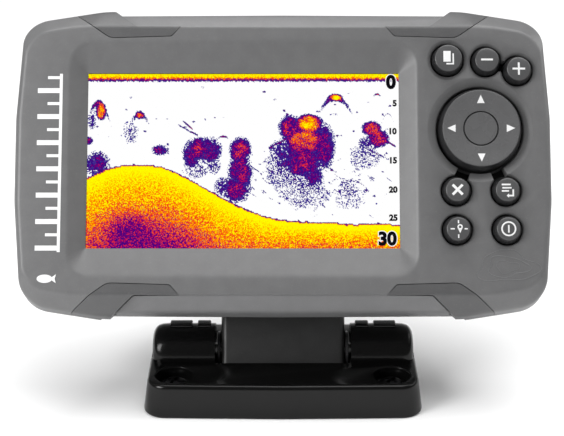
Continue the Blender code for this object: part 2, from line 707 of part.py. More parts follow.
# ---- bracket base -------------------------------------------------------------------------
def base_ring(z, inset):
    """One level section of the base plate, with a slightly bowed front edge."""
    half_w = BASE_HALF_W / MM - inset
    front = -BASE_FRONT / MM + inset
    back = BASE_BACK / MM - inset
    back_w = half_w - BASE_BACK_TAPER / MM
    bow = 0.8
    corners = [(half_w, front + bow, 5.5), (half_w, 2.0, 0), (back_w, back - bow, 8.0), (20.0, back - 0.3, 0),
               (0.0, back, 0), (-20.0, back - 0.3, 0), (-back_w, back - bow, 8.0), (-half_w, 2.0, 0),
               (-half_w, front + bow, 5.5), (-20.0, front + 0.3, 0), (0.0, front, 0), (20.0, front + 0.3, 0)]
    return [Vector((point.x * MM, point.y * MM, z * MM)) for point, normal in rounded_loop(corners, 3)]


def rear_slope():
    """The wedge of air above the plate's back half, which slopes down to a thin edge."""
    profile = ((10.0, 11.1), (40.0, -3.0), (40.0, 30.0), (10.0, 30.0))
    rings = [[Vector((x * MM, y * MM, z * MM)) for y, z in profile] for x in (-60.0, 60.0)]
    return loft("cut_slope", None, rings)


def base_barrel():
    """The rounded housing round the tilt axis, with domed ends."""
    end = (BASE_HALF_W - BASE_DRAFT) / MM - 0.6
    radius = BARREL_R / MM
    profile = [(0.0, end), (radius - 3.4, end), (radius - 1.6, end - 0.6), (radius - 0.5, end - 1.8),
               (radius - 0.12, end - 3.2), (radius, end - 5.2), (radius, -end + 5.2),
               (radius - 0.12, -end + 3.2), (radius - 0.5, -end + 1.8), (radius - 1.6, -end + 0.6),
               (radius - 3.4, -end), (0.0, -end)]
    return turned("join_barrel", None, profile, (0.0, PIVOT_Y, PIVOT_Z), None, (0, math.pi / 2, 0), 30)


def bracket_base():
    """The foot: a plate with four screw recesses, a slot for the arm and the barrel.

    The arm's foot is squared, so the slot is deep enough for its corners to swing past.
    """
    height = BASE_PLATE_H / MM
    draft = BASE_DRAFT / MM
    rings = [base_ring(0.0, 0.4), base_ring(0.5, 0.0), base_ring(height - 1.0, draft),
             base_ring(height - 0.3, draft + 0.35), base_ring(height, draft + 1.05)]
    base = loft("bracket_base", "bracket_black", rings)
    combine(base, base_barrel(), "UNION")
    slot_half = 20.85 * MM
    slot_height = 30.0 * MM
    slot_centre = (0.0, PIVOT_Y + (SLOT_BACK - SLOT_FRONT) / 2, SLOT_FLOOR + slot_height / 2)
    slot = block("cut_slot", None, (2 * slot_half, SLOT_BACK + SLOT_FRONT, slot_height), slot_centre)
    bore = rod("cut_pin_bore", None, 2.6 * MM, 100 * MM, (0.0, PIVOT_Y, PIVOT_Z), None,
               (0, math.pi / 2, 0), 24)
    cut(base, slot, bore, rear_slope())
    for side in (-1, 1):
        cap_seat = rod("cut_cap_seat_%d" % side, None, 4.3 * MM, 6.0 * MM,
                       (side * (BASE_HALF_W - 1.8 * MM), PIVOT_Y, PIVOT_Z), None, (0, math.pi / 2, 0))
        hollow = block("cut_underside_%d" % side, None, (15.0 * MM, 24.0 * MM, 6.0 * MM),
                       (side * 31.0 * MM, -3.0 * MM, 0.0))
        cut(base, cap_seat, hollow)
        for row, (screw_y, seat) in enumerate(BASE_SCREW_ROWS):
            label = "%d_%d" % (side, row)
            spot = (side * BASE_SCREW_X, screw_y)
            well = rod("cut_well_" + label, None, 5.45 * MM, 12.0 * MM, (*spot, seat + 6.0 * MM))
            hole = rod("cut_hole_" + label, None, 2.4 * MM, 30.0 * MM, (*spot, 0.0), sides=16)
            cut(base, well, hole)
    for side in (-1, 1):
        for offset, length in ((32.0, 7.0), (24.8, 4.2)):
            rib = block("join_rib_%d_%d" % (side, offset), None, (length * MM, 4.0 * MM, 1.6 * MM),
                        (side * offset * MM, PIVOT_Y + 1.0 * MM, PIVOT_Z + BARREL_R - 0.2 * MM))
            combine(base, rib, "UNION")
    return base


def base_screws():
    """The four screws that hold the foot down, drawn only as long as the plate is thick."""
    number = 0
    for screw_y, seat in BASE_SCREW_ROWS:
        under = seat / MM + 0.3
        profile = [(0.0, under + 2.5), (2.6, under + 2.2), (3.9, under + 1.2), (4.1, under), (2.1, under),
                   (2.1, 0.4), (0.0, 0.4)]
        for side in (-1, 1):
            number += 1
            spot = (side * BASE_SCREW_X, screw_y, 0.0)
            screw = turned("base_screw_%d" % number, "steel", profile, spot, steps=16)
            for turn, size in enumerate([(4.6, 1.0), (1.0, 4.6)]):
                cross = block("cut_cross_%d_%d" % (number, turn), None,
                              (size[0] * MM, size[1] * MM, 3.0 * MM), (spot[0], spot[1], (under + 2.7) * MM))
                cut(screw, cross)


def pivot_hardware():
    """The steel pivot pin, the two friction washers and the caps that close the pin's bore."""
    rod("pivot_pin", "steel", 2.3 * MM, 70 * MM, (0.0, PIVOT_Y, PIVOT_Z), None, (0, math.pi / 2, 0), 20)
    for name, side in (("left", -1), ("right", 1)):
        washer = [(2.6, 0.45), (6.0, 0.45), (6.0, -0.45), (2.6, -0.45)]
        turned("friction_washer_" + name, "acetal", washer,
               (side * 20.1 * MM, PIVOT_Y, PIVOT_Z), None, (0, math.pi / 2, 0), 20, True)
        cap = [(0.0, 1.3), (2.8, 1.2), (4.0, 0.6), (4.0, -0.9), (0.0, -0.9)]
        turned("pivot_cap_" + name, "silicone", cap,
               (side * (BASE_HALF_W - 3.2 * MM), PIVOT_Y, PIVOT_Z), None,
               (0, side * math.pi / 2, 0), 20)


# ---- assembly -----------------------------------------------------------------------------
def build():
    """Make every piece."""
    skin = case_front_solid("shape_skin", 0.0, 0.0)
    core = case_front_solid("shape_core", CLIP_SKIN / MM, CLIP_SKIN / MM)
    floor = case_front_solid("shape_floor", CLIP_SKIN / MM + 0.35, CLIP_SKIN / MM + 0.3)
    pockets = []
    for end_name, end in (("top", 1), ("bottom", -1)):
        for side_name, side in (("left", -1), ("right", 1)):
            label = "%s_%s" % (end_name, side_name)
            corner_clip("clip_" + label, side, end, skin, core)
            pockets.append(clip_pocket("cut_clip_" + label, side, end, floor))
    front_bezel(pockets)
    rear_housing(pockets)
    housing_seal()
    screen_stack()
    for key in ROUND_KEYS:
        round_key(*key)
    direction_pad()
    keypad()
    electronics()
    socket()
    vent_plug()
    for number, (u, v) in enumerate(CASE_SCREWS):
        pan_screw("case_screw_%d" % (number + 1), "steel", u, v, 13.8, 3.0, 2.9, 1.3)
    tilt_arm()
    release_button()
    bracket_base()
    base_screws()
    pivot_hardware()


build()
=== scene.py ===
# %% [markdown]
# # A fish finder on its tilting bracket
# The object is a small sonar display: a grey moulded case with a lit screen, seven round keys and a
# four-way pad, clipped to an arm that tilts in a black foot. The CAD model already has every part in
# its place. This lesson gives the parts their final surfaces: rounded edges, dished key wells, the
# lit sonar picture, printed symbols and moulded textures.

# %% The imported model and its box
import json
import math

import bmesh
import bpy
import numpy as np
from mathutils import Matrix, Vector


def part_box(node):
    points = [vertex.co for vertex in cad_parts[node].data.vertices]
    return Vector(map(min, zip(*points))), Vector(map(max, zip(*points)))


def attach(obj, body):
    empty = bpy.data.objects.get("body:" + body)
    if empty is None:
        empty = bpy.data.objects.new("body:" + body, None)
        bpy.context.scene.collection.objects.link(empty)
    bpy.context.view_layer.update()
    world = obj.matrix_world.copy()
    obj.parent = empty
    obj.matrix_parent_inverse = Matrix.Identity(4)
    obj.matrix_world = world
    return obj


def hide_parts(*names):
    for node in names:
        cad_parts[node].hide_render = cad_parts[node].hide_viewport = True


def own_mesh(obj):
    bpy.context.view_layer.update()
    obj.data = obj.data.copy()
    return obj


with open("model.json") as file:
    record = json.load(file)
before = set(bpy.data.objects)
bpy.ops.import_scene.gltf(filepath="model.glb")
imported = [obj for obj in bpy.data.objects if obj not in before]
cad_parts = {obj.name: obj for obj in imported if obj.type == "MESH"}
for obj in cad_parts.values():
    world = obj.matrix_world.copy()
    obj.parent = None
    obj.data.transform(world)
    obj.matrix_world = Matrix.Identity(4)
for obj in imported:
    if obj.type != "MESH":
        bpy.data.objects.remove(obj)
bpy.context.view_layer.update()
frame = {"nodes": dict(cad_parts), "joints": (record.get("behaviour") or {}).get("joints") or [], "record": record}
MM = 0.001

# %% [markdown]
# ## The display unit's own directions
# The unit leans back, so nothing on it is level. It is easier to work in its own directions: u to
# the right, v up the face and w into the case. The joints already know them: the unit lifts off its
# arm along v, and the keys are pressed along w. The origin is found by measuring: the front bezel's
# foremost point gives w = 0, and the rear housing's middle gives v = 0.

# %% The unit's frame, read from the joints and the nodes
JOINTS = {joint["name"]: joint for joint in frame["joints"]}
U_AXIS = Vector((1.0, 0.0, 0.0))
V_AXIS = Vector(JOINTS["unit_lift_off"]["axis"]).normalized()
W_AXIS = Vector(JOINTS["exit_key_press"]["axis"]).normalized()


def extent(node, axis):
    """The lowest and highest place of a CAD node's mesh along a direction, in metres."""
    reach = [vertex.co.dot(axis) for vertex in frame["nodes"][node].data.vertices]
    return min(reach), max(reach)


HOUSING_V = extent("rear_housing", V_AXIS)
UNIT_ORIGIN = V_AXIS * sum(HOUSING_V) / 2 + W_AXIS * extent("front_bezel", W_AXIS)[0]
UNIT_TO_WORLD = Matrix((
    (U_AXIS.x, V_AXIS.x, -W_AXIS.x, UNIT_ORIGIN.x),
    (U_AXIS.y, V_AXIS.y, -W_AXIS.y, UNIT_ORIGIN.y),
    (U_AXIS.z, V_AXIS.z, -W_AXIS.z, UNIT_ORIGIN.z),
    (0.0, 0.0, 0.0, 1.0)))


def unit_point(u, v, w):
    """A point of the unit in millimetres, as x right, y up and z towards the user, in metres."""
    return Vector((u * MM, v * MM, -w * MM))


def middle(node):
    """The middle of a CAD node across the unit's face: its u and v in millimetres."""
    u_low, u_high = extent(node, U_AXIS)
    v_low, v_high = extent(node, V_AXIS)
    return (u_low + u_high) / 2 / MM, ((v_low + v_high) / 2 - UNIT_ORIGIN.dot(V_AXIS)) / MM


print("unit origin (mm):", [round(value / MM, 2) for value in UNIT_ORIGIN])
print("pad centre (mm):", [round(value, 2) for value in middle("direction_pad")])

# %% [markdown]
# ## Tools for making pieces
# Every finished piece keeps its object at the origin and carries its place in its mesh, as the CAD
# nodes do. A piece is modelled in flat, easy coordinates and then moved into the world in one step.
# An outline with rounded corners, a skin over rings and a turned profile make nearly all of them.

# %% Objects from meshes
def new_object(name, mesh):
    """An object at the origin that shows a mesh."""
    made = bpy.data.objects.new(name, mesh)
    bpy.context.scene.collection.objects.link(made)
    return made


def piece_of(name, shape, to_world=UNIT_TO_WORLD):
    """An object of a bmesh, moved from its own coordinates into the world."""
    shape.transform(to_world)
    bmesh.ops.recalc_face_normals(shape, faces=shape.faces)
    mesh = bpy.data.meshes.new(name)
    shape.to_mesh(mesh)
    shape.free()
    return new_object(name, mesh)


def settle(piece):
    """Replace a piece's mesh by what its modifiers make of it, and drop the modifiers."""
    graph = bpy.context.evaluated_depsgraph_get()
    mesh = bpy.data.meshes.new_from_object(piece.evaluated_get(graph))
    piece.modifiers.clear()
    piece.data = mesh
    return piece


def carve(piece, *cutters, operation="DIFFERENCE"):
    """Cut each cutter out of a piece, or join it, and remove the cutters."""
    for cutter in cutters:
        step = piece.modifiers.new(cutter.name, "BOOLEAN")
        step.operation = operation
        step.object = cutter
        step.solver = "MANIFOLD"
        settle(piece)
        bpy.data.objects.remove(cutter)
    return piece


def joined(name, pieces):
    """One object of several that don't touch; the separate ones are removed."""
    shape = bmesh.new()
    for piece in pieces:
        shape.from_mesh(piece.data)
        bpy.data.objects.remove(piece)
    mesh = bpy.data.meshes.new(name)
    shape.to_mesh(mesh)
    shape.free()
    return new_object(name, mesh)


def rounded(piece, width, segments=3, angle=30.0):
    """Round the edges that are sharper than the angle."""
    step = piece.modifiers.new("rounded edges", "BEVEL")
    step.width = width * MM
    step.segments = segments
    step.limit_method = "ANGLE"
    step.angle_limit = math.radians(angle)
    return settle(piece)


# %% [markdown]
# Smooth shading hides the facets of a round surface, and a sharp-edge angle keeps real edges crisp.
# The same step gives the piece its material, its body and the CAD nodes that it stands for.

# %% Finishing a piece
def finish_piece(piece, material, body, nodes=(), angle=32.0):
    """Give a piece its material, tie it to its CAD body, and hide the CAD nodes that it replaces."""
    piece.data.materials.clear()
    piece.data.materials.append(material)
    piece.data.shade_smooth()
    piece.data.set_sharp_from_angle(angle=math.radians(angle))
    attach(piece, body)
    if nodes:
        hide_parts(*nodes)
    print("%-24s %6d faces on %s" % (piece.name, len(piece.data.polygons), body))
    return piece


# %% Outlines and skins
def rounded_outline(corners, arc_steps):
    """Points and outward normals of a polygon with rounded corners, counter-clockwise.

    corners holds x, y and radius. A corner with radius 0 gives one point.
    """
    outline = []
    for index, (x, y, radius) in enumerate(corners):
        here = Vector((x, y))
        before = (here - Vector(corners[index - 1][:2])).normalized()
        after = (Vector(corners[(index + 1) % len(corners)][:2]) - here).normalized()
        start_normal = Vector((before.y, -before.x))
        end_normal = Vector((after.y, -after.x))
        if radius == 0:
            outline.append((here, (start_normal + end_normal).normalized()))
            continue
        turn = -start_normal.angle_signed(end_normal, 0.0)
        radius = math.copysign(radius, turn)
        centre = here - before * radius * math.tan(turn / 2) - start_normal * radius
        for step in range(arc_steps + 1):
            normal = Matrix.Rotation(turn * step / arc_steps, 2) @ start_normal
            outline.append((centre + normal * radius, normal))
    return outline


def skin(name, rings, to_world=UNIT_TO_WORLD, closed_ring=False):
    """A surface over a row of rings with flat ends, or joined up into a ring of rings."""
    shape = bmesh.new()
    rows = [[shape.verts.new(point) for point in ring] for ring in rings]
    pairs = list(zip(rows, rows[1:]))
    if closed_ring:
        pairs.append((rows[-1], rows[0]))
    else:
        shape.faces.new(rows[0])
        shape.faces.new(list(reversed(rows[-1])))
    for near, far in pairs:
        for step, point in enumerate(near):
            after = (step + 1) % len(near)
            shape.faces.new((far[step], far[after], near[after], point))
    return piece_of(name, shape, to_world)


def fillet_path(points, radii, steps=4):
    """A path whose inner corners are eased: each takes a short curve reaching radius either way."""
    path = [points[0]]
    for before, corner, after, radius in zip(points, points[1:], points[2:], radii):
        if radius == 0:
            path.append(corner)
            continue
        start = corner + (before - corner).normalized() * min(radius, (before - corner).length * 0.45)
        end = corner + (after - corner).normalized() * min(radius, (after - corner).length * 0.45)
        for step in range(steps + 1):
            share = step / steps
            path.append(start * (1 - share) ** 2 + corner * 2 * share * (1 - share) + end * share ** 2)
    path.append(points[-1])
    return path


def lathe(name, profile, centre, steps=64, to_world=UNIT_TO_WORLD, hollow=False):
    """Turn a profile of radius and height (mm) round the w axis at a centre (u, v, w in mm).

    Height grows towards the user. A profile that starts and ends on the axis is closed there.
    """
    shape = bmesh.new()
    rows = []
    for radius, height in profile:
        if radius < 1e-6:
            rows.append([shape.verts.new((0.0, 0.0, height * MM))])
            continue
        rows.append([shape.verts.new((radius * MM * math.cos(math.tau * step / steps),
                                      radius * MM * math.sin(math.tau * step / steps), height * MM))
                     for step in range(steps)])
    pairs = list(zip(rows, rows[1:]))
    if hollow:
        pairs.append((rows[-1], rows[0]))
    for near, far in pairs:
        for step in range(steps):
            after = (step + 1) % steps
            corners = [near[step % len(near)], near[after % len(near)],
                       far[after % len(far)], far[step % len(far)]]
            shape.faces.new(list(dict.fromkeys(corners)))
    shape.transform(Matrix.Translation(unit_point(*centre)))
    return piece_of(name, shape, to_world)


def curved_profile(points, radii, steps=4):
    """A profile of radius and height pairs with its corners eased."""
    path = fillet_path([Vector(point) for point in points], radii, steps)
    return [(max(point.x, 0.0), point.y) for point in path]


def box_between(name, low, high, to_world=UNIT_TO_WORLD):
    """A box between two corners given in u, v and w (mm)."""
    shape = bmesh.new()
    bmesh.ops.create_cube(shape, size=1.0)
    first = unit_point(*low)
    last = unit_point(*high)
    bmesh.ops.scale(shape, vec=[abs(last[axis] - first[axis]) for axis in range(3)], verts=shape.verts)
    bmesh.ops.translate(shape, vec=(first + last) / 2, verts=shape.verts)
    return piece_of(name, shape, to_world)


def round_cutter(name, radius, front, back, centre, steps=32):
    """A plain cylinder along w between two depths behind the unit's face, at a centre (u, v)."""
    profile = [(0.0, -back), (radius, -back), (radius, -front), (0.0, -front)]
    return lathe(name, profile, (*centre, 0.0), steps)


def flared_box(name, low, high, levels):
    """A box cutter between two corners (u, v) that spreads level by level (depth w, spread)."""
    rings = []
    for w, spread in levels:
        left, bottom = low[0] - spread, low[1] - spread
        right, top = high[0] + spread, high[1] + spread
        rings.append([unit_point(u, v, w)
                      for u, v in ((left, bottom), (right, bottom), (right, top), (left, top))])
    return skin(name, rings)


# %% [markdown]
# Some pieces repeat along a line or on a row of points. Geometry Nodes trees make them. Each tree has
# named inputs, and is run once and turned into a plain mesh, because the library keeps plain meshes.

# %% Starting and running a node tree
def blank_tree(name, inputs, result):
    """An empty Geometry Nodes tree with its named inputs and its result."""
    tree = bpy.data.node_groups.new(name, "GeometryNodeTree")
    for label, kind in inputs.items():
        tree.interface.new_socket(label, in_out="INPUT", socket_type="NodeSocket" + kind)
    tree.interface.new_socket(result, in_out="OUTPUT", socket_type="NodeSocketGeometry")
    return tree


def run_tree(piece, tree, values):
    """Run a node tree on a piece, with each named input set by its identifier, and keep the mesh."""
    step = piece.modifiers.new(tree.name, "NODES")
    step.node_group = tree
    for item in tree.interface.items_tree:
        if item.in_out == "INPUT" and item.name in values:
            step[item.identifier] = values[item.name]
    return settle(piece)


# %% [markdown]
# ## Moulded plastic and rubber
# Plastic is never one flat colour. The mould is spark-eroded, so the skin has a fine pebble; the
# pigment clouds a little; handling polishes some places and leaves dust in others. One recipe with
# different numbers serves the grey case, the black foot, the soft keys and the rubber.

# %% Starting and laying out a node tree
def blank_material(name):
    """A new material and its node tree, with nothing in it yet."""
    made = bpy.data.materials.new(name)
    made.use_nodes = True
    made.node_tree.nodes.clear()
    return made, made.node_tree


def lay_out(tree):
    """Place a tree's nodes in the editor, in columns of four from left to right."""
    nodes = [node for node in tree.nodes if node.type != "FRAME"]
    for number, node in enumerate(nodes):
        node.location = (240 * (number // 4), -280 * (number % 4))


# %% The recipe for plastics
def moulded_plastic(name, colour, roughness, pebble=0.25, pebble_size=0.35, cloud=0.05, dust=0.05,
                    shine=0.5):
    """Plastic with a pebbled skin (size in mm), clouded pigment, polish marks and dust."""
    made, tree = blank_material(name)
    where = tree.nodes.new("ShaderNodeTexCoord")
    where.label = "place on the object"

    pebbles = tree.nodes.new("ShaderNodeTexNoise")
    pebbles.label = "spark-eroded pebble"
    pebbles.inputs["Scale"].default_value = 1.0 / (pebble_size * MM)
    pebbles.inputs["Detail"].default_value = 2.0
    waves = tree.nodes.new("ShaderNodeTexNoise")
    waves.label = "slight sink of the walls"
    waves.inputs["Scale"].default_value = 25.0
    both = tree.nodes.new("ShaderNodeMath")
    both.label = "pebble over sink"
    both.operation = "MULTIPLY_ADD"
    both.inputs[1].default_value = 0.6
    bump = tree.nodes.new("ShaderNodeBump")
    bump.label = "skin relief"
    bump.inputs["Strength"].default_value = pebble
    bump.inputs["Distance"].default_value = 0.06 * MM

    clouds = tree.nodes.new("ShaderNodeTexNoise")
    clouds.label = "clouded pigment"
    clouds.inputs["Scale"].default_value = 260.0
    clouds.inputs["Detail"].default_value = 4.0
    pigment = tree.nodes.new("ShaderNodeValToRGB")
    pigment.label = "darker and lighter pigment"
    pigment.color_ramp.elements[0].position = 0.3
    pigment.color_ramp.elements[0].color = (*[part * (1.0 - cloud) for part in colour], 1.0)
    pigment.color_ramp.elements[1].position = 0.7
    pigment.color_ramp.elements[1].color = (*[part * (1.0 + cloud) for part in colour], 1.0)
    specks = tree.nodes.new("ShaderNodeTexNoise")
    specks.label = "specks of dust"
    specks.inputs["Scale"].default_value = 2200.0
    specks.inputs["Detail"].default_value = 1.0
    settled = tree.nodes.new("ShaderNodeMapRange")
    settled.label = "only the tallest specks show"
    settled.inputs["From Min"].default_value = 0.60
    settled.inputs["From Max"].default_value = 0.80
    settled.inputs["To Max"].default_value = dust
    dusted = tree.nodes.new("ShaderNodeMix")
    dusted.label = "pigment under dust"
    dusted.data_type = "RGBA"
    dusted.inputs[7].default_value = (0.55, 0.53, 0.5, 1.0)

    rubbed = tree.nodes.new("ShaderNodeTexNoise")
    rubbed.label = "rubbed patches"
    rubbed.inputs["Scale"].default_value = 240.0
    rubbed.inputs["Detail"].default_value = 5.0
    gloss = tree.nodes.new("ShaderNodeMapRange")
    gloss.label = "roughness from polish to matt"
    gloss.inputs["To Min"].default_value = max(roughness - 0.03, 0.02)
    gloss.inputs["To Max"].default_value = roughness + 0.03

    plastic = tree.nodes.new("ShaderNodeBsdfPrincipled")
    plastic.label = "plastic"
    plastic.inputs["Specular IOR Level"].default_value = shine
    output = tree.nodes.new("ShaderNodeOutputMaterial")
    output.label = "surface"
    for effect, members in (("moulded skin", (pebbles, waves, both, bump)),
                            ("pigment and dust", (clouds, pigment, specks, settled, dusted)),
                            ("polished by handling", (rubbed, gloss))):
        group = tree.nodes.new("NodeFrame")
        group.label = effect
        for node in members:
            node.parent = group
    for texture in (pebbles, waves, clouds, specks, rubbed):
        tree.links.new(where.outputs["Object"], texture.inputs["Vector"])
    tree.links.new(pebbles.outputs["Fac"], both.inputs[0])
    tree.links.new(waves.outputs["Fac"], both.inputs[2])
    tree.links.new(both.outputs["Value"], bump.inputs["Height"])
    tree.links.new(clouds.outputs["Fac"], pigment.inputs["Fac"])
    tree.links.new(specks.outputs["Fac"], settled.inputs["Value"])
    tree.links.new(settled.outputs["Result"], dusted.inputs[0])
    tree.links.new(pigment.outputs["Color"], dusted.inputs[6])
    tree.links.new(rubbed.outputs["Fac"], gloss.inputs["Value"])
    tree.links.new(dusted.outputs[2], plastic.inputs["Base Color"])
    tree.links.new(gloss.outputs["Result"], plastic.inputs["Roughness"])
    tree.links.new(bump.outputs["Normal"], plastic.inputs["Normal"])
    tree.links.new(plastic.outputs["BSDF"], output.inputs["Surface"])
    lay_out(tree)
    return made


BEZEL_GREY = moulded_plastic("bezel_grey", (0.135, 0.135, 0.137), 0.40)
HOUSING_GREY = moulded_plastic("housing_grey", (0.150, 0.150, 0.153), 0.38)
CLIP_GREY = moulded_plastic("clip_grey", (0.088, 0.088, 0.090), 0.38)
KEY_GREY = moulded_plastic("key_grey", (0.078, 0.078, 0.080), 0.32, pebble=0.15, dust=0.02)
# a darker copy of the key plastic: painted shade for the sides of the keys and the pad
SKIRT_SHADE_GREY = moulded_plastic("skirt_painted_shade", (0.016, 0.016, 0.017), 0.34, pebble=0.2, dust=0.02)
PAD_GREY = moulded_plastic("pad_grey", (0.105, 0.105, 0.107), 0.27, pebble=0.15, dust=0.02)
SYMBOL_WHITE = moulded_plastic("symbol_white", (0.80, 0.80, 0.80), 0.45, pebble=0.05, cloud=0.02, dust=0.0)
FOOT_BLACK = moulded_plastic("foot_black", (0.0032, 0.0032, 0.0032), 0.20, pebble=0.10, cloud=0.1,
                             dust=0.008, shine=0.26)
ARM_BLACK = moulded_plastic("arm_black", (0.030, 0.030, 0.030), 0.36, pebble=0.3, cloud=0.1, dust=0.02)
BUTTON_GREY = moulded_plastic("button_grey", (0.12, 0.12, 0.12), 0.4)
SOCKET_BLACK = moulded_plastic("socket_black", (0.014, 0.014, 0.015), 0.38, pebble=0.3)
SILICONE_BLACK = moulded_plastic("silicone_black", (0.016, 0.016, 0.016), 0.6, pebble=0.1, cloud=0.25,
                                 dust=0.06)
ACETAL_DARK = moulded_plastic("acetal_dark", (0.020, 0.020, 0.021), 0.35, pebble=0.08, cloud=0.04,
                              dust=0.02)
CERAMIC_BUFF = moulded_plastic("ceramic_buff", (0.52, 0.47, 0.38), 0.6, pebble=0.5, pebble_size=0.2)
FLEX_AMBER = moulded_plastic("flex_amber", (0.45, 0.20, 0.03), 0.25, pebble=0.05, cloud=0.2)

# %% [markdown]
# ## Metal
# A pressed or machined metal shows fine lines one way. Stretched noise makes them: the pattern's
# coordinates are squeezed along one direction, so each grain becomes a long streak.

# %% The recipe for metals
def streaked_metal(name, colour, roughness, along=(1.0, 0.05, 1.0), stain=0.15):
    """Metal with fine streaks along one direction and faint stains."""
    made, tree = blank_material(name)
    where = tree.nodes.new("ShaderNodeTexCoord")
    where.label = "place on the object"
    squeeze = tree.nodes.new("ShaderNodeMapping")
    squeeze.label = "stretch the grain"
    squeeze.inputs["Scale"].default_value = along
    streaks = tree.nodes.new("ShaderNodeTexNoise")
    streaks.label = "tool streaks"
    streaks.inputs["Scale"].default_value = 3500.0
    streaks.inputs["Detail"].default_value = 3.0
    stains = tree.nodes.new("ShaderNodeTexNoise")
    stains.label = "handling stains"
    stains.inputs["Scale"].default_value = 300.0
    tint = tree.nodes.new("ShaderNodeValToRGB")
    tint.label = "stained to clean metal"
    tint.color_ramp.elements[0].position = 0.3
    tint.color_ramp.elements[0].color = (*[part * (1.0 - stain) for part in colour], 1.0)
    tint.color_ramp.elements[1].position = 0.65
    tint.color_ramp.elements[1].color = (*colour, 1.0)
    gloss = tree.nodes.new("ShaderNodeMapRange")
    gloss.label = "streaks vary the gloss"
    gloss.inputs["To Min"].default_value = roughness * 0.7
    gloss.inputs["To Max"].default_value = roughness * 1.4
    bump = tree.nodes.new("ShaderNodeBump")
    bump.label = "streak relief"
    bump.inputs["Strength"].default_value = 0.15
    bump.inputs["Distance"].default_value = 0.02 * MM
    metal = tree.nodes.new("ShaderNodeBsdfPrincipled")
    metal.label = "metal"
    metal.inputs["Metallic"].default_value = 1.0
    output = tree.nodes.new("ShaderNodeOutputMaterial")
    output.label = "surface"
    for effect, members in (("tool streaks", (squeeze, streaks, gloss, bump)), ("stains", (stains, tint))):
        group = tree.nodes.new("NodeFrame")
        group.label = effect
        for node in members:
            node.parent = group
    tree.links.new(where.outputs["Object"], squeeze.inputs["Vector"])
    tree.links.new(squeeze.outputs["Vector"], streaks.inputs["Vector"])
    tree.links.new(where.outputs["Object"], stains.inputs["Vector"])
    tree.links.new(stains.outputs["Fac"], tint.inputs["Fac"])
    tree.links.new(tint.outputs["Color"], metal.inputs["Base Color"])
    tree.links.new(streaks.outputs["Fac"], gloss.inputs["Value"])
    tree.links.new(gloss.outputs["Result"], metal.inputs["Roughness"])
    tree.links.new(streaks.outputs["Fac"], bump.inputs["Height"])
    tree.links.new(bump.outputs["Normal"], metal.inputs["Normal"])
    tree.links.new(metal.outputs["BSDF"], output.inputs["Surface"])
    lay_out(tree)
    return made


SCREW_STEEL = streaked_metal("screw_steel", (0.50, 0.50, 0.50), 0.26)
BLACK_STEEL = streaked_metal("blackened_steel", (0.055, 0.055, 0.058), 0.30)
SPRING_STEEL = streaked_metal("spring_steel", (0.58, 0.58, 0.57), 0.22)
TINNED_STEEL = streaked_metal("tinned_steel", (0.62, 0.63, 0.62), 0.34, along=(0.1, 1.0, 1.0))
GOLD_CONTACT = streaked_metal("gold_contact", (0.83, 0.61, 0.22), 0.2)

# %% [markdown]
# ## Circuit board and glass
# A board is green lacquer over copper. A brick pattern with thin joints gives straight tracks, and
# the lacquer over them is a little lighter. The window is clear plastic with a hard coat.

# %% Circuit board
def circuit_board():
    """Green solder lacquer with copper tracks showing through."""
    made, tree = blank_material("circuit_board")
    where = tree.nodes.new("ShaderNodeTexCoord")
    where.label = "place on the object"
    tracks = tree.nodes.new("ShaderNodeTexBrick")
    tracks.label = "copper tracks"
    tracks.inputs["Scale"].default_value = 120.0
    tracks.inputs["Mortar Size"].default_value = 0.03
    tracks.inputs["Color1"].default_value = (0.010, 0.080, 0.026, 1.0)
    tracks.inputs["Color2"].default_value = (0.014, 0.100, 0.032, 1.0)
    tracks.inputs["Mortar"].default_value = (0.045, 0.20, 0.06, 1.0)
    relief = tree.nodes.new("ShaderNodeBump")
    relief.label = "tracks stand up"
    relief.inputs["Strength"].default_value = 0.3
    relief.inputs["Distance"].default_value = 0.05 * MM
    lacquer = tree.nodes.new("ShaderNodeBsdfPrincipled")
    lacquer.label = "solder lacquer"
    lacquer.inputs["Roughness"].default_value = 0.3
    output = tree.nodes.new("ShaderNodeOutputMaterial")
    output.label = "surface"
    group = tree.nodes.new("NodeFrame")
    group.label = "copper tracks"
    for node in (tracks, relief):
        node.parent = group
    tree.links.new(where.outputs["Object"], tracks.inputs["Vector"])
    tree.links.new(tracks.outputs["Color"], lacquer.inputs["Base Color"])
    tree.links.new(tracks.outputs["Fac"], relief.inputs["Height"])
    tree.links.new(relief.outputs["Normal"], lacquer.inputs["Normal"])
    tree.links.new(lacquer.outputs["BSDF"], output.inputs["Surface"])
    lay_out(tree)
    return made


BOARD_GREEN = circuit_board()


# %% Clear window
def clear_window():
    """Hard-coated clear plastic, with faint wiping marks in its gloss."""
    made, tree = blank_material("clear_window")
    where = tree.nodes.new("ShaderNodeTexCoord")
    where.label = "place on the object"
    wiping = tree.nodes.new("ShaderNodeTexNoise")
    wiping.label = "wiping marks"
    wiping.inputs["Scale"].default_value = 90.0
    gloss = tree.nodes.new("ShaderNodeMapRange")
    gloss.label = "clean to wiped"
    gloss.inputs["To Min"].default_value = 0.0
    gloss.inputs["To Max"].default_value = 0.05
    window = tree.nodes.new("ShaderNodeBsdfPrincipled")
    window.label = "coated clear plastic"
    window.inputs["Base Color"].default_value = (1.0, 1.0, 1.0, 1.0)
    window.inputs["Transmission Weight"].default_value = 1.0
    window.inputs["IOR"].default_value = 1.03
    output = tree.nodes.new("ShaderNodeOutputMaterial")
    output.label = "surface"
    group = tree.nodes.new("NodeFrame")
    group.label = "wiped gloss"
    for node in (wiping, gloss):
        node.parent = group
    tree.links.new(where.outputs["Object"], wiping.inputs["Vector"])
    tree.links.new(wiping.outputs["Fac"], gloss.inputs["Value"])
    tree.links.new(gloss.outputs["Result"], window.inputs["Roughness"])
    tree.links.new(window.outputs["BSDF"], output.inputs["Surface"])
    lay_out(tree)
    return made


WINDOW_CLEAR = clear_window()
print("materials:", len(bpy.data.materials))

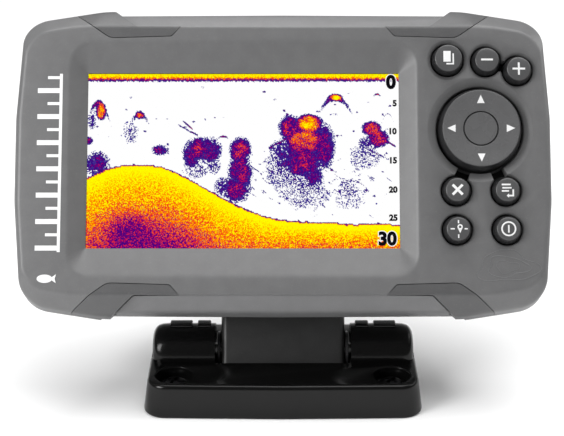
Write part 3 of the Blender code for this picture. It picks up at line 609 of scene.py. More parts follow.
# %% [markdown]
# ## The outline of the case
# The front face ends in a crease, and a chamfer runs from the crease to the side walls, which widen
# to a rim 12 mm back. The two outlines share their corners one for one, so that a skin can run
# between them: the side, the corner, two points under each clip, and the bowed top.

# %% Crease and rim outlines
CASE_HALF_W, CASE_HALF_H = 82.0, 48.3
CREASE_HALF_W, CREASE_HALF_H = 79.8, 40.95
RIM_W = 12.0                         # how far behind the front face the rim lies
WALL_FLARE = 0.9
BAND_STEP = 1.3                      # the band between two clips lies this much lower
ARC_STEPS = 14


def mirrored_quarter(quarter):
    """A whole outline from its upper right quarter, listed from the side to the top."""
    left = [(-x, y, radius) for x, y, radius in reversed(quarter) if x > 0]
    upper = quarter + left
    return upper + [(-x, -y, radius) for x, y, radius in upper]


RIM = rounded_outline(mirrored_quarter([
    (CASE_HALF_W, 13.0, 40.0), (CASE_HALF_W - 2.3, CASE_HALF_H - 4.2, 10.0),
    (64.6, CASE_HALF_H - 1.81, 0), (63.8, CASE_HALF_H - 1.69, 0),
    (55.0, CASE_HALF_H - 0.3, 30.0), (0.0, CASE_HALF_H, 0)]), ARC_STEPS)
CREASE = rounded_outline(mirrored_quarter([
    (CREASE_HALF_W, 13.0, 40.0), (CREASE_HALF_W - 2.0, CREASE_HALF_H - 2.35, 9.0),
    (64.6, CREASE_HALF_H - 0.25, 0), (63.8, CREASE_HALF_H - 0.17, 0),
    (57.0, CREASE_HALF_H + 0.15, 30.0), (0.0, CREASE_HALF_H, 0)]), ARC_STEPS)
print("outline points:", len(RIM), len(CREASE))


# %% The path across the edge of the case
def edge_paths(inset, front_w=0.0, crease_ease=0.9, chamfer_ease=1.6, steps=4):
    """For each outline point, the eased path from the face over the chamfer to the rim.

    inset moves the whole skin inwards, which gives the inside of a wall or a lower layer.
    """
    paths = []
    for (rim, rim_normal), (crease, crease_normal) in zip(RIM, CREASE):
        depth = 1.4 + 4.2 * abs(rim_normal.y) ** 1.5
        face = crease - crease_normal * (inset * 0.4 + 3.0)
        fold = crease - crease_normal * inset * 0.4
        chamfer = rim - rim_normal * (WALL_FLARE + inset)
        wall = rim - rim_normal * inset
        corners = [Vector((face.x, face.y, front_w)), Vector((fold.x, fold.y, front_w)),
                   Vector((chamfer.x, chamfer.y, depth + inset * 0.4)), Vector((wall.x, wall.y, RIM_W))]
        paths.append(fillet_path(corners, [crease_ease, chamfer_ease], steps))
    return paths


def rings_of(paths):
    """Turn paths, one for each outline point, into rings, one for each step along the paths."""
    return [[unit_point(*path[step]) for path in paths] for step in range(len(paths[0]))]


def flat_ring(outline, inset, w, band_step=0.0):
    """One ring of an outline moved inwards; band_step lowers the stretches between the clips."""
    ring = []
    for point, normal in outline:
        in_band = abs(point.x) < 64.0 and abs(point.y) > 30.0
        moved = point - normal * (inset + (band_step if in_band else 0.0))
        ring.append(unit_point(moved.x, moved.y, w))
    return ring


# %% [markdown]
# ## Cutters shaped like the moulded edges
# A hole in a moulding never has a knife edge. Instead of bevelling afterwards, which fails where
# many small faces meet, each cutter is flared at its mouth: what it leaves behind is a rounded edge
# or a shallow dish. The keys stand in such dishes, and short necks join some of them.

# %% Key places and openings
KEYS = {                             # key: radius of its opening, of its top face, and of its dish
    "page_key": (5.1, 4.15, 6.15),
    "zoom_out_key": (4.75, 3.6, 5.5),
    "zoom_in_key": (4.75, 3.6, 5.5),
    "exit_key": (4.7, 3.55, 5.15),
    "menu_key": (4.7, 3.55, 5.15),
    "waypoint_key": (4.7, 3.55, 5.15),
    "power_key": (4.7, 3.55, 5.15),
}
KEY_AT = {name: middle(name) for name in KEYS}
PAD_AT = middle("direction_pad")
PAD_OPENING = 13.3
PAD_DISH = 15.9
BEZEL_DEPTH = 4.8
for name, (u, v) in KEY_AT.items():
    print("%-14s at %6.2f, %6.2f" % (name, u, v))


def well_cutter(centre, opening, dish, dish_depth):
    """A cutter for a round well: straight below, flared into a dish, eased at both edges."""
    floor = BEZEL_DEPTH + 1.0
    profile = curved_profile(
        [(0.0, -floor), (opening, -floor), (opening, -dish_depth), (dish, 0.0), (dish + 0.4, 0.0),
         (dish + 0.4, 1.5), (0.0, 1.5)],
        [0.0, min(0.5, dish_depth), min(0.7, dish_depth + 0.3), 0.0, 0.0], 3)
    eased = [(radius, height + 0.02 if height >= -0.001 else height) for radius, height in profile]
    return lathe("well", eased, (*centre, 0.0), 72)


def neck_cutter(start, end, half_width):
    """A cutter for the channel between two wells, with a flared mouth."""
    along = Vector(end) - Vector(start)
    side = Vector((-along.y, along.x)).normalized()
    rings = []
    for w, spread in ((BEZEL_DEPTH + 0.9, 0.0), (0.7, 0.0), (0.25, 0.12), (0.0, 0.4), (-1.0, 0.9)):
        width = half_width + spread
        corners = [Vector(start) - side * width, Vector(end) - side * width,
                   Vector(end) + side * width, Vector(start) + side * width]
        rings.append([unit_point(corner.x, corner.y, w) for corner in corners])
    return skin("neck", rings)


# %% The screen's well
SCREEN_U, SCREEN_V = middle("lcd_panel")
SCREEN_W, SCREEN_H = 95.04, 53.9
RECESS_DEPTH = 3.6


def screen_ring(half_w, half_h, radius, w):
    """A ring round the screen's middle, a rectangle with rounded corners at depth w."""
    corners = [(half_w, -half_h, radius), (half_w, half_h, radius),
               (-half_w, half_h, radius), (-half_w, -half_h, radius)]
    return [unit_point(SCREEN_U + point.x, SCREEN_V + point.y, w)
            for point, normal in rounded_outline(corners, 12)]


def screen_recess():
    """The sloping well round the screen: rounded corners outside, sharp ones at the picture."""
    rings = []
    for share, w in ((1.6, -1.0), (1.13, -0.02), (1.03, 0.05), (0.955, 0.22), (0.86, 0.52)):
        rings.append(screen_ring(SCREEN_W / 2 + 5.25 * share, SCREEN_H / 2 + 8.95 * share,
                                 0.4 + 6.8 * share, w))
    for w in (RECESS_DEPTH, BEZEL_DEPTH + 1.0):
        rings.append(screen_ring(SCREEN_W / 2, SCREEN_H / 2, 0.4, w))
    return skin("screen_recess", rings)


# %% [markdown]
# ## Clips
# Four trim clips wrap over the edge of the case. Seen from the front each is a bent arrow. A straight
# prism of that outline, kept only where it meets the skin of the case and emptied inside, gives the
# clip; the same prism grown by the fit gap gives its pocket.

# %% Clip outline and prisms
CLIP_CORNERS = [(69.5, 50.5, 0), (58.0, 41.3, 2.0), (52.6, 37.5, 4.5), (34.0, 38.05, 1.2),
                (31.2, 41.0, 0), (44.8, 41.0, 2.0), (55.6, 50.5, 0)]
CLIP_SKIN = 1.2
CLIP_BACK = 10.0


def clip_prism(name, side, end, grow, back):
    """The clip's outline as a straight prism through the front of the case."""
    corners = [(u * side, v * end, radius) for u, v, radius in CLIP_CORNERS]
    if side * end > 0:
        corners = corners[::-1]
    outline = rounded_outline(corners, 5)
    return skin(name, [[unit_point(*(point + normal * grow), w) for point, normal in outline]
                       for w in (-2.0, back)])


def case_front(name, inset, front_w=0.0, back=RIM_W):
    """The front of the case as one solid, inset all round."""
    paths = edge_paths(inset, front_w)
    rings = rings_of(paths)
    rings.append([unit_point(path[-1].x, path[-1].y, back) for path in paths])
    return skin(name, rings)


def band_cutter(end):
    """The stretch between two clips, where the bezel stops at the crease and the band lies lower."""
    rings = []
    for w, spread in ((-1.0, 0.9), (0.0, 0.45), (0.22, 0.13), (0.7, 0.0), (RIM_W + 1.0, 0.0)):
        inner = CREASE_HALF_H + 0.1 - spread
        corners = [(-49.0 - spread, inner), (49.0 + spread, inner),
                   (62.5 + spread, 55.0), (-62.5 - spread, 55.0)]
        rings.append([unit_point(u, v * end, w) for u, v in corners])
    return skin("band_cutter", rings)


CLIPS = {"clip_top_left": (-1, 1), "clip_top_right": (1, 1),
         "clip_bottom_left": (-1, -1), "clip_bottom_right": (1, -1)}


def clip_pockets():
    """The cutter for the pockets under the four clips, with a fit gap all round."""
    gap = 0.3
    pockets = joined("pockets", [clip_prism("pocket", side, end, 0.22, CLIP_BACK + gap)
                                 for side, end in CLIPS.values()])
    return carve(pockets, case_front("pocket_floor", CLIP_SKIN + gap, CLIP_SKIN + gap, RIM_W + 3.0))

# %% [markdown]
# ## The front bezel
# The bezel is one moulding: the flat face, the well round the screen, the key openings, and the
# rounded corners down to the rim. It starts as a hollow cup made of rings, and the cutters do the
# rest. The cutters that don't touch each other are joined first, which saves time.

# %% The cup and its openings
def front_bezel():
    """The front moulding with all its openings."""
    outside = rings_of(edge_paths(0.0))
    wall = 1.1
    inside = [flat_ring(RIM, wall, RIM_W), flat_ring(RIM, wall + WALL_FLARE, 6.5),
              flat_ring(CREASE, 1.6, BEZEL_DEPTH)]
    bezel = skin("front_bezel_shell", outside + inside)
    wells = {"pad": well_cutter(PAD_AT, PAD_OPENING, PAD_DISH, 1.1)}
    for name, (opening, _, dish) in KEYS.items():
        wells[name] = well_cutter(KEY_AT[name], opening, dish, 0.7 if name == "page_key" else 0.45)
    seat = box_between("seat", (SCREEN_U - 50.6, SCREEN_V - 30.2, 4.0),
                       (SCREEN_U + 50.6, SCREEN_V + 30.2, BEZEL_DEPTH + 1.0))
    exit_neck = neck_cutter(PAD_AT, KEY_AT["exit_key"], 2.1)
    menu_neck = neck_cutter(PAD_AT, KEY_AT["menu_key"], 2.1)
    zoom_neck = neck_cutter(KEY_AT["zoom_out_key"], KEY_AT["zoom_in_key"], 1.7)
    carve(bezel, screen_recess(), seat,
          joined("far_wells", [wells[name] for name in ("pad", "page_key", "waypoint_key", "power_key")]),
          joined("near_wells", [wells[name] for name in ("zoom_out_key", "exit_key", "menu_key")]),
          joined("last_well", [wells["zoom_in_key"], exit_neck]), joined("necks", [menu_neck, zoom_neck]))
    return carve(bezel, joined("bands", [band_cutter(1), band_cutter(-1)]), clip_pockets())


bezel = front_bezel()
finish_piece(bezel, BEZEL_GREY, "display_unit", ["front_bezel"])

# %% The four clips
for clip_name, (side, end) in CLIPS.items():
    clip = clip_prism(clip_name + "_trim", side, end, 0.0, CLIP_BACK)
    carve(clip, case_front("skin", 0.0), operation="INTERSECT")
    carve(clip, case_front("core", CLIP_SKIN, CLIP_SKIN, RIM_W + 3.0))
    finish_piece(clip, CLIP_GREY, "display_unit", [clip_name])

# %% [markdown]
# ## The rear housing
# The housing lies under the bezel at the front, shows as the lower band between the clips, steps out
# to the rim behind the bezel's edge, and then slopes in to the flat back. A slot down the back takes
# the arm. The screws, the socket and the breather each have a well of their own.

# %% Back sections and the housing's skin
def back_outline(half_w, half_h, radius):
    """A plain rounded section of the back, with its corners in the outlines' order."""
    return rounded_outline(mirrored_quarter([
        (half_w, half_h * 0.3, 30.0), (half_w - 0.8, half_h - 0.4, radius),
        (half_w * 0.8, half_h - 0.2, 0), (half_w * 0.78, half_h - 0.18, 0),
        (half_w * 0.6, half_h, 20.0), (0.0, half_h, 0)]), ARC_STEPS)


CASE_DEPTH = 40.0
CASE_WALL = 2.4
FRONT_LAYER = 1.3                    # the housing's skin lies this far under the bezel's
CASE_SCREWS = [middle("case_screw_%d" % number) for number in range(1, 5)]
SOCKET_AT = middle("socket_shell")
VENT_AT = middle("vent_plug")


def rear_housing():
    """The rear shell with its slot for the arm and its wells."""
    rings = rings_of(edge_paths(FRONT_LAYER, 0.9, 0.6, 1.2, 3))
    rings.append(flat_ring(RIM, FRONT_LAYER, RIM_W + 0.1))
    for inset, w, band_step in ((0.1, RIM_W + 0.2, BAND_STEP - 0.1), (0.0, RIM_W + 0.5, BAND_STEP),
                                (0.25, 12.9, BAND_STEP), (0.75, 13.4, BAND_STEP),
                                (1.55, 14.2, BAND_STEP), (3.3, 16.0, BAND_STEP * 0.8)):
        rings.append(flat_ring(RIM, inset, w, band_step))
    for half_w, half_h, radius, w in ((66.2, 32.4, 5.5, 29.3), (65.2, 31.4, 5.5, 31.0),
                                      (62.0, 28.2, 5.0, 38.0), (61.5, 27.7, 4.8, 38.9),
                                      (60.8, 27.0, 4.5, 39.6), (59.6, 25.8, 4.0, CASE_DEPTH)):
        rings.append(flat_ring(back_outline(half_w, half_h, radius), 0.0, w))
    housing = skin("rear_housing_shell", rings)
    wall = CASE_WALL
    cavity = skin("cavity", [
        flat_ring(CREASE, 1.7, -1.0), flat_ring(CREASE, 1.7, 5.9), flat_ring(CREASE, 3.4, 5.95),
        flat_ring(CREASE, 3.0, 11.0), flat_ring(back_outline(65.5 - wall, 31.7 - wall, 5.5), 0.0, 30.0),
        flat_ring(back_outline(62.0 - wall, 28.2 - wall, 5.0), 0.0, CASE_DEPTH - wall)])
    carve(cavity, box_between("keep", (-25.0, -60.0, 21.2), (25.0, 12.8, 45.0)))
    carve(cavity, joined("bosses", [round_cutter("boss", 4.5, 5.9, 45.0, place) for place in CASE_SCREWS]))
    # The key nearest the corner needs room for its flange and its travel.
    corner_key = round_cutter("relief", 5.1, 5.0, 7.4, KEY_AT["zoom_in_key"])
    carve(cavity, corner_key, operation="UNION")
    carve(housing, cavity)
    half = 21.0                      # half the width of the slot for the arm
    back_flare = ((30.0, 0.0), (39.2, 0.0), (39.7, 0.25), (40.4, 1.1), (45.0, 3.0))
    mouth_flare = flared_box("flare", (-half, -60.0), (half, -24.0), back_flare)
    window_flare = flared_box("flare", (-15.0, -12.0), (15.0, 8.0), back_flare)
    carve(housing, box_between("slot", (-half, -60.0, 23.6), (half, 10.2, 37.7)),
          box_between("grooves", (-half - 1.6, -60.0, 28.5), (half + 1.6, 10.2, 33.5)),
          mouth_flare, window_flare)
    wells = [round_cutter("well", 3.4, 13.5, 45.0, place) for place in CASE_SCREWS]
    holes = [round_cutter("hole", 1.7, 5.0, 20.0, place, 20) for place in CASE_SCREWS]
    wells.append(lathe("socket_hole", [(0.0, -45.0), (13.4, -45.0), (13.4, -41.0), (13.1, -40.2),
                                       (12.9, -39.9), (10.3, -39.9), (10.3, -34.0), (0.0, -34.0)],
                       (*SOCKET_AT, 0.0), 72))
    wells.append(round_cutter("vent_hole", 3.9, 34.0, 45.0, VENT_AT))
    return carve(housing, joined("wells", wells), joined("holes", holes), clip_pockets())


housing = rear_housing()
finish_piece(housing, HOUSING_GREY, "display_unit", ["rear_housing"])

# %% [markdown]
# ## The lit sonar picture
# The picture is the strength of the echoes: white water, dark blue and purple for weak echoes, red
# and orange for stronger ones, yellow for the hard bottom. It could be painted as an image, but a
# field of numbers on a fine mesh is closer to how the real thing works. Each echo lifts the field to
# its own strength, and the material turns strength into colour with a grainy threshold.

# %% Echo shapes
PICTURE_GRID = 0.4                   # spacing of the field's points, mm
columns = int(round(SCREEN_W / PICTURE_GRID)) + 1
rows = int(round(SCREEN_H / PICTURE_GRID)) + 1
across, down = np.meshgrid(np.linspace(0.0, SCREEN_W, columns), np.linspace(0.0, SCREEN_H, rows))
random = np.random.default_rng(7)


def cloud(x, y, half_w, half_h, peak):
    """A soft round echo."""
    return peak * np.exp(-(((across - x) / half_w) ** 2 + ((down - y) / half_h) ** 2) ** 2.0)


def arch(x, y, half_w, drop, thickness, peak):
    """A fish arch: a thin curve with its apex at x, y, fading towards its legs."""
    along = (across - x) / half_w
    curve = y + drop * along ** 2
    fade = np.clip(1.15 - np.abs(along), 0.0, 1.0) ** 0.5
    return peak * fade * np.exp(-((down - curve) / thickness) ** 2)


def streak(x, y, length, slope, thickness, peak):
    """A short slanting echo."""
    along = np.clip((across - x) / length, 0.0, 1.0)
    inside = (across >= x) & (across <= x + length)
    curve = y + slope * length * along
    return np.where(inside, peak * np.exp(-((down - curve) / thickness) ** 2), 0.0)


# %% Where the fish and the bait hang, in mm from the picture's upper left corner
CLOUDS = [                           # x, y, half width, half height, strength
    (4.0, 11.6, 1.7, 3.0, 0.86), (1.2, 14.5, 1.6, 3.5, 0.46), (15.9, 12.9, 1.6, 1.3, 0.78),
    (13.2, 18.0, 3.4, 5.5, 0.36), (0.4, 20.8, 1.5, 1.6, 0.56), (2.9, 27.8, 4.8, 4.6, 0.52),
    (22.3, 23.6, 3.2, 2.0, 0.54), (31.8, 25.0, 3.6, 5.6, 0.54), (37.0, 23.8, 4.8, 5.0, 0.56),
    (33.6, 23.4, 3.2, 4.4, 0.62), (38.5, 28.6, 3.0, 3.6, 0.40), (33.0, 30.0, 5.4, 3.4, 0.38),
    (46.6, 23.6, 3.9, 4.6, 0.64), (46.6, 30.5, 4.4, 6.8, 0.58), (45.4, 35.6, 5.2, 5.0, 0.57),
    (41.5, 35.0, 3.6, 3.6, 0.48), (67.5, 15.4, 4.6, 3.2, 0.86), (66.0, 20.6, 6.4, 5.0, 0.74),
    (62.0, 17.0, 4.4, 4.8, 0.62), (65.5, 27.0, 7.0, 6.4, 0.60), (71.6, 22.5, 4.6, 8.6, 0.58),
    (60.4, 26.0, 6.2, 8.0, 0.47), (66.0, 34.0, 8.5, 6.0, 0.40), (68.6, 31.8, 4.0, 4.4, 0.52),
    (58.6, 30.0, 6.0, 8.0, 0.38), (66.0, 37.5, 12.0, 6.5, 0.34), (75.8, 7.3, 2.3, 1.2, 0.93),
    (75.2, 12.6, 2.6, 0.7, 0.34), (86.6, 17.0, 3.4, 2.6, 0.72), (88.6, 20.0, 3.8, 3.2, 0.66),
    (85.4, 21.6, 3.4, 3.0, 0.46), (84.5, 26.0, 6.5, 5.5, 0.36), (78.6, 34.6, 2.6, 3.6, 0.36),
    (80.0, 38.0, 7.5, 6.5, 0.33),
]
ARCHES = [                           # x, y, half width, drop of the legs, thickness, strength
    (3.2, 9.0, 4.2, 8.0, 1.3, 0.66), (15.8, 12.2, 3.4, 5.0, 1.3, 0.60), (22.4, 23.0, 3.2, 3.2, 0.5, 0.5),
    (41.4, 19.4, 2.2, 1.2, 0.4, 0.66), (75.6, 7.3, 5.4, 5.6, 1.5, 0.66),
    (91.7, 12.4, 2.6, 5.5, 0.4, 0.52), (91.8, 17.0, 3.0, 4.0, 0.35, 0.48),
    (80.4, 33.0, 9.0, 9.0, 0.45, 0.46), (88.4, 6.3, 1.4, 1.0, 0.45, 0.68),
]
STREAKS = [                          # x, y, length, slope, thickness, strength
    (27.2, 15.6, 3.4, 0.55, 0.4, 0.58), (29.0, 14.6, 3.2, 0.85, 0.4, 0.66),
    (30.2, 17.4, 3.4, 0.45, 0.45, 0.54), (55.4, 23.0, 6.0, -0.55, 0.6, 0.62),
    (86.0, 17.6, 8.0, 0.62, 0.5, 0.6), (82.0, 26.4, 7.0, -0.6, 0.5, 0.48),
    (85.0, 28.2, 6.0, -0.55, 0.5, 0.46), (84.0, 22.6, 8.0, 0.5, 0.5, 0.5),
]


# %% The water column
def water_echoes():
    """Strength of everything that hangs in the water, 0 for clear water."""
    field = np.zeros_like(across)
    echoes = [cloud(*shape) for shape in CLOUDS]
    echoes += [arch(*shape) for shape in ARCHES]
    echoes += [streak(*shape) for shape in STREAKS]
    for echo in echoes:
        field = np.maximum(field, np.minimum(echo * 1.04, 0.97))
    patches = np.sin(across * 0.9 + 2.0 * np.sin(down * 0.7)) * np.sin(down * 1.3 + np.sin(across * 1.1))
    field = field * (1.0 + 0.10 * patches)
    for _ in range(90):
        x, y, size = random.uniform(1, 93), random.uniform(4, 44), random.uniform(0.25, 0.55)
        field = np.maximum(field, cloud(x, y, size * 1.4, size, random.uniform(0.4, 0.62)))
    for _ in range(150):
        x, y, length = random.normal(68, 9), random.normal(33, 6), random.uniform(0.8, 2.2)
        line = streak(x, y, length, random.choice([-0.7, 0.7]), 0.3, random.uniform(0.4, 0.55))
        field = np.maximum(field, line)
    return field


# %% The bottom
BOTTOM_LINE = [(-2, 33.5), (0, 32.6), (4, 30.2), (9, 28.5), (16, 28.0), (22, 28.4), (27, 30.4), (33, 33.7),
               (40, 37.7), (48, 41.8), (55, 44.3), (61, 45.4), (68, 45.7), (76, 45.9), (81, 46.7),
               (85, 46.0), (90, 46.2), (97, 46.9)]


def bottom_depth():
    """How far each point lies under the bottom's surface, negative in the water."""
    line = np.interp(across[0], *zip(*BOTTOM_LINE))
    width = int(3.0 / PICTURE_GRID)
    padded = np.pad(line, width, mode="edge")
    line = np.convolve(padded, np.ones(2 * width + 1) / (2 * width + 1), mode="valid")
    ripple = 0.14 * np.sin(across[0] * 1.9) * np.sin(across[0] * 0.37)
    return down - (line + ripple)[None, :]


def picture_field():
    """Strength everywhere on the picture, from 0 to 1."""
    field = water_echoes()
    ragged = 0.25 * np.sin(across * 5.1) * np.sin(across * 1.7) + random.normal(0.0, 0.12, across.shape)
    surface = np.interp(down + ragged * 0.6, [0.0, 0.9, 1.35, 1.8, 2.3, 2.7],
                        [0.97, 0.95, 0.84, 0.60, 0.50, 0.0])
    field = np.maximum(field, surface)
    depth = bottom_depth()
    slope = 0.0122 + 0.015 * np.clip((across - 42.0) / 26.0, 0.0, 1.0)
    ground = 0.985 - slope * np.clip(depth - 1.5, 0.0, None)
    ground -= 0.15 * np.exp(-(((across - 13.0) / 6.0) ** 2 + ((down - 51.0) / 7.5) ** 4))
    ground -= 0.07 * np.exp(-(((across - 26.0) / 13.0) ** 2 + ((down - 53.0) / 8.0) ** 2))
    ground = np.where(np.abs(depth - 0.1) < 0.22, 0.56, np.clip(ground, 0.62, 1.0))
    return np.where(depth > -0.12, ground, field * (depth < -0.12))


# %% The picture's mesh
PICTURE_W = 4.72                     # the lit layer lies just behind the window


def sonar_picture():
    """A flat grid that carries the echo strength and a map in millimetres."""
    strength = picture_field()
    left = SCREEN_U - SCREEN_W / 2
    top = SCREEN_V + SCREEN_H / 2
    points = [tuple(UNIT_TO_WORLD @ unit_point(left + x, top - y, PICTURE_W))
              for x, y in zip(across.ravel(), down.ravel())]
    faces = []
    for row in range(rows - 1):
        for column in range(columns - 1):
            corner = row * columns + column
            faces.append((corner, corner + columns, corner + columns + 1, corner + 1))
    mesh = bpy.data.meshes.new("sonar_picture")
    mesh.from_pydata(points, [], faces)
    echo = mesh.attributes.new("echo", "FLOAT", "POINT")
    echo.data.foreach_set("value", strength.ravel().astype(np.float32))
    chart = mesh.uv_layers.new(name="millimetres")
    corners = np.array([loop.vertex_index for loop in mesh.loops])
    places = np.stack([across.ravel()[corners], SCREEN_H - down.ravel()[corners]], axis=1) / 100.0
    chart.data.foreach_set("uv", places.ravel().astype(np.float32))
    return new_object("sonar_picture", mesh)


# %% The picture's material
def lit_picture():
    """Echo strength with grain, turned into the sounder's colours, and lit from behind."""
    made, tree = blank_material("lit_picture")
    chart = tree.nodes.new("ShaderNodeUVMap")
    chart.label = "place on the picture"
    chart.uv_map = "millimetres"
    dots = tree.nodes.new("ShaderNodeVectorMath")
    dots.label = "one value for each dot"
    dots.operation = "SNAP"
    dots.inputs[1].default_value = (0.0028, 0.0028, 1.0)
    noise = tree.nodes.new("ShaderNodeTexWhiteNoise")
    noise.label = "chance of a dot"
    noise.noise_dimensions = "2D"
    spread = tree.nodes.new("ShaderNodeMapRange")
    spread.label = "grain about the mean"
    spread.inputs["To Min"].default_value = -0.125
    spread.inputs["To Max"].default_value = 0.125
    echo = tree.nodes.new("ShaderNodeAttribute")
    echo.label = "echo strength"
    echo.attribute_name = "echo"
    shy = tree.nodes.new("ShaderNodeMapRange")
    shy.label = "no grain in clear water or hard bottom"
    shy.inputs["From Min"].default_value = 0.14
    shy.inputs["From Max"].default_value = 0.34
    calm = tree.nodes.new("ShaderNodeMapRange")
    calm.label = "less grain where the echo is strongest"
    calm.inputs["From Min"].default_value = 0.86
    calm.inputs["From Max"].default_value = 0.99
    calm.inputs["To Min"].default_value = 1.0
    calm.inputs["To Max"].default_value = 0.25
    amount = tree.nodes.new("ShaderNodeMath")
    amount.label = "how much grain"
    amount.operation = "MULTIPLY"
    mixed = tree.nodes.new("ShaderNodeMath")
    mixed.label = "strength with grain"
    mixed.operation = "MULTIPLY_ADD"
    palette = tree.nodes.new("ShaderNodeValToRGB")
    palette.label = "the sounder's colours"
    palette.color_ramp.interpolation = "LINEAR"
    colours = [(0.0, (1.0, 1.0, 1.0)), (0.37, (1.0, 1.0, 1.0)), (0.385, (0.06, 0.05, 0.36)),
               (0.48, (0.03, 0.005, 0.22)), (0.60, (0.07, 0.0, 0.20)), (0.68, (0.34, 0.0, 0.12)),
               (0.76, (0.85, 0.03, 0.01)), (0.85, (1.0, 0.20, 0.0)), (0.91, (1.0, 0.48, 0.0)),
               (0.95, (1.0, 0.86, 0.0)), (1.0, (1.0, 0.97, 0.0))]
    ramp = palette.color_ramp.elements
    while len(ramp) < len(colours):
        ramp.new(0.5)
    for stop, (position, colour) in zip(ramp, colours):
        stop.position = position
        stop.color = (*colour, 1.0)
    glow = tree.nodes.new("ShaderNodeBsdfPrincipled")
    glow.label = "lit panel"
    glow.inputs["Base Color"].default_value = (0.0, 0.0, 0.0, 1.0)
    glow.inputs["Roughness"].default_value = 0.4
    glow.inputs["Specular IOR Level"].default_value = 0.0
    glow.inputs["Emission Strength"].default_value = 1.0
    output = tree.nodes.new("ShaderNodeOutputMaterial")
    output.label = "surface"
    for effect, members in (("grain of the sounder", (chart, dots, noise, spread)),
                            ("echo and its grain", (echo, shy, calm, amount, mixed))):
        group = tree.nodes.new("NodeFrame")
        group.label = effect
        for node in members:
            node.parent = group
    tree.links.new(chart.outputs["UV"], dots.inputs[0])
    tree.links.new(dots.outputs["Vector"], noise.inputs["Vector"])
    tree.links.new(noise.outputs["Value"], spread.inputs["Value"])
    tree.links.new(echo.outputs["Fac"], shy.inputs["Value"])
    tree.links.new(echo.outputs["Fac"], calm.inputs["Value"])
    tree.links.new(shy.outputs["Result"], amount.inputs[0])
    tree.links.new(calm.outputs["Result"], amount.inputs[1])
    tree.links.new(spread.outputs["Result"], mixed.inputs[0])
    tree.links.new(amount.outputs["Value"], mixed.inputs[1])
    tree.links.new(echo.outputs["Fac"], mixed.inputs[2])
    tree.links.new(mixed.outputs["Value"], palette.inputs["Fac"])
    tree.links.new(palette.outputs["Color"], glow.inputs["Emission Color"])
    tree.links.new(glow.outputs["BSDF"], output.inputs["Surface"])
    lay_out(tree)
    return made


picture = sonar_picture()
picture.data.materials.append(lit_picture())
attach(picture, "display_unit")
print("picture:", len(picture.data.vertices), "points")

# %% [markdown]
# ## Digits of the depth scale
# The scale's digits are the display's own, so they glow with the picture. Each is a text curve made
# into a mesh: a black one, and behind it a fatter white one, which reads as a pale halo.

# %% Ink for the digits
def lit_ink(name, colour):
    """One tone of the display's digits, with the panel's slight unevenness."""
    made, tree = blank_material(name)
    where = tree.nodes.new("ShaderNodeTexCoord")
    where.label = "place on the panel"
    uneven = tree.nodes.new("ShaderNodeTexNoise")
    uneven.label = "uneven backlight"
    uneven.inputs["Scale"].default_value = 40.0
    tone = tree.nodes.new("ShaderNodeValToRGB")
    tone.label = "tone"
    tone.color_ramp.elements[0].color = (*[part * 0.96 for part in colour], 1.0)
    tone.color_ramp.elements[1].color = (*colour, 1.0)
    glow = tree.nodes.new("ShaderNodeBsdfPrincipled")
    glow.label = "lit ink"
    glow.inputs["Base Color"].default_value = (0.0, 0.0, 0.0, 1.0)
    glow.inputs["Specular IOR Level"].default_value = 0.0
    glow.inputs["Emission Strength"].default_value = 1.0
    output = tree.nodes.new("ShaderNodeOutputMaterial")
    output.label = "surface"
    group = tree.nodes.new("NodeFrame")
    group.label = "tone of the ink"
    for node in (uneven, tone):
        node.parent = group
    tree.links.new(where.outputs["Object"], uneven.inputs["Vector"])
    tree.links.new(uneven.outputs["Fac"], tone.inputs["Fac"])
    tree.links.new(tone.outputs["Color"], glow.inputs["Emission Color"])
    tree.links.new(glow.outputs["BSDF"], output.inputs["Surface"])
    lay_out(tree)
    return made


INK_BLACK = lit_ink("ink_black", (0.004, 0.004, 0.006))
INK_HALO = lit_ink("ink_halo", (1.0, 1.0, 1.0))


# %% The digits
def digits(text, x, y, height, fatness, w):
    """Numbers centred at x, y (mm from the picture's upper left corner), as a flat mesh."""
    curve = bpy.data.curves.new("digits", "FONT")
    curve.body = text
    curve.size = height * MM / 0.69
    curve.offset = fatness * MM
    curve.align_x = "CENTER"
    curve.align_y = "CENTER"
    curve.resolution_u = 4
    source = bpy.data.objects.new("digits", curve)
    bpy.context.scene.collection.objects.link(source)
    bpy.context.view_layer.update()
    mesh = bpy.data.meshes.new_from_object(source)
    bpy.data.objects.remove(source)
    place = Matrix.Translation(unit_point(SCREEN_U - SCREEN_W / 2 + x, SCREEN_V + SCREEN_H / 2 - y, w))
    mesh.transform(UNIT_TO_WORLD @ place)
    return new_object("digits", mesh)


SCALE = [("0", 92.7, 2.7, 3.9, 0.30), ("5", 93.8, 9.2, 1.75, 0.14), ("10", 93.0, 17.9, 1.75, 0.14),
         ("15", 93.1, 26.9, 1.75, 0.14), ("20", 93.1, 35.9, 1.75, 0.14), ("25", 93.1, 44.5, 1.75, 0.14),
         ("30", 91.2, 51.0, 3.8, 0.28)]
for name, ink, swell, lift in (("scale_halo", INK_HALO, 0.24, 0.04), ("scale_digits", INK_BLACK, 0.0, 0.08)):
    parts = [digits(text, x, y, height, fatness + swell, PICTURE_W - lift)
             for text, x, y, height, fatness in SCALE]
    finish_piece(joined(name, parts), ink, "display_unit")

# %% [markdown]
# ## Window and panel
# The window is a clear slab with eased edges in the bezel's seat. The panel behind it is a black
# slab; the picture lies on its front.

# %% Window and panel body
window = box_between("window_pane", (SCREEN_U - 50.2, SCREEN_V - 29.8, 4.1),
                     (SCREEN_U + 50.2, SCREEN_V + 29.8, 4.5))
rounded(window, 0.12, 2)
finish_piece(window, WINDOW_CLEAR, "display_unit", ["screen_window"])
panel = box_between("panel_body", (SCREEN_U - 49.4, SCREEN_V - 29.0, 4.85),
                    (SCREEN_U + 49.4, SCREEN_V + 29.0, 8.1))
rounded(panel, 0.3, 2)
finish_piece(panel, SOCKET_BLACK, "display_unit", ["lcd_panel"])

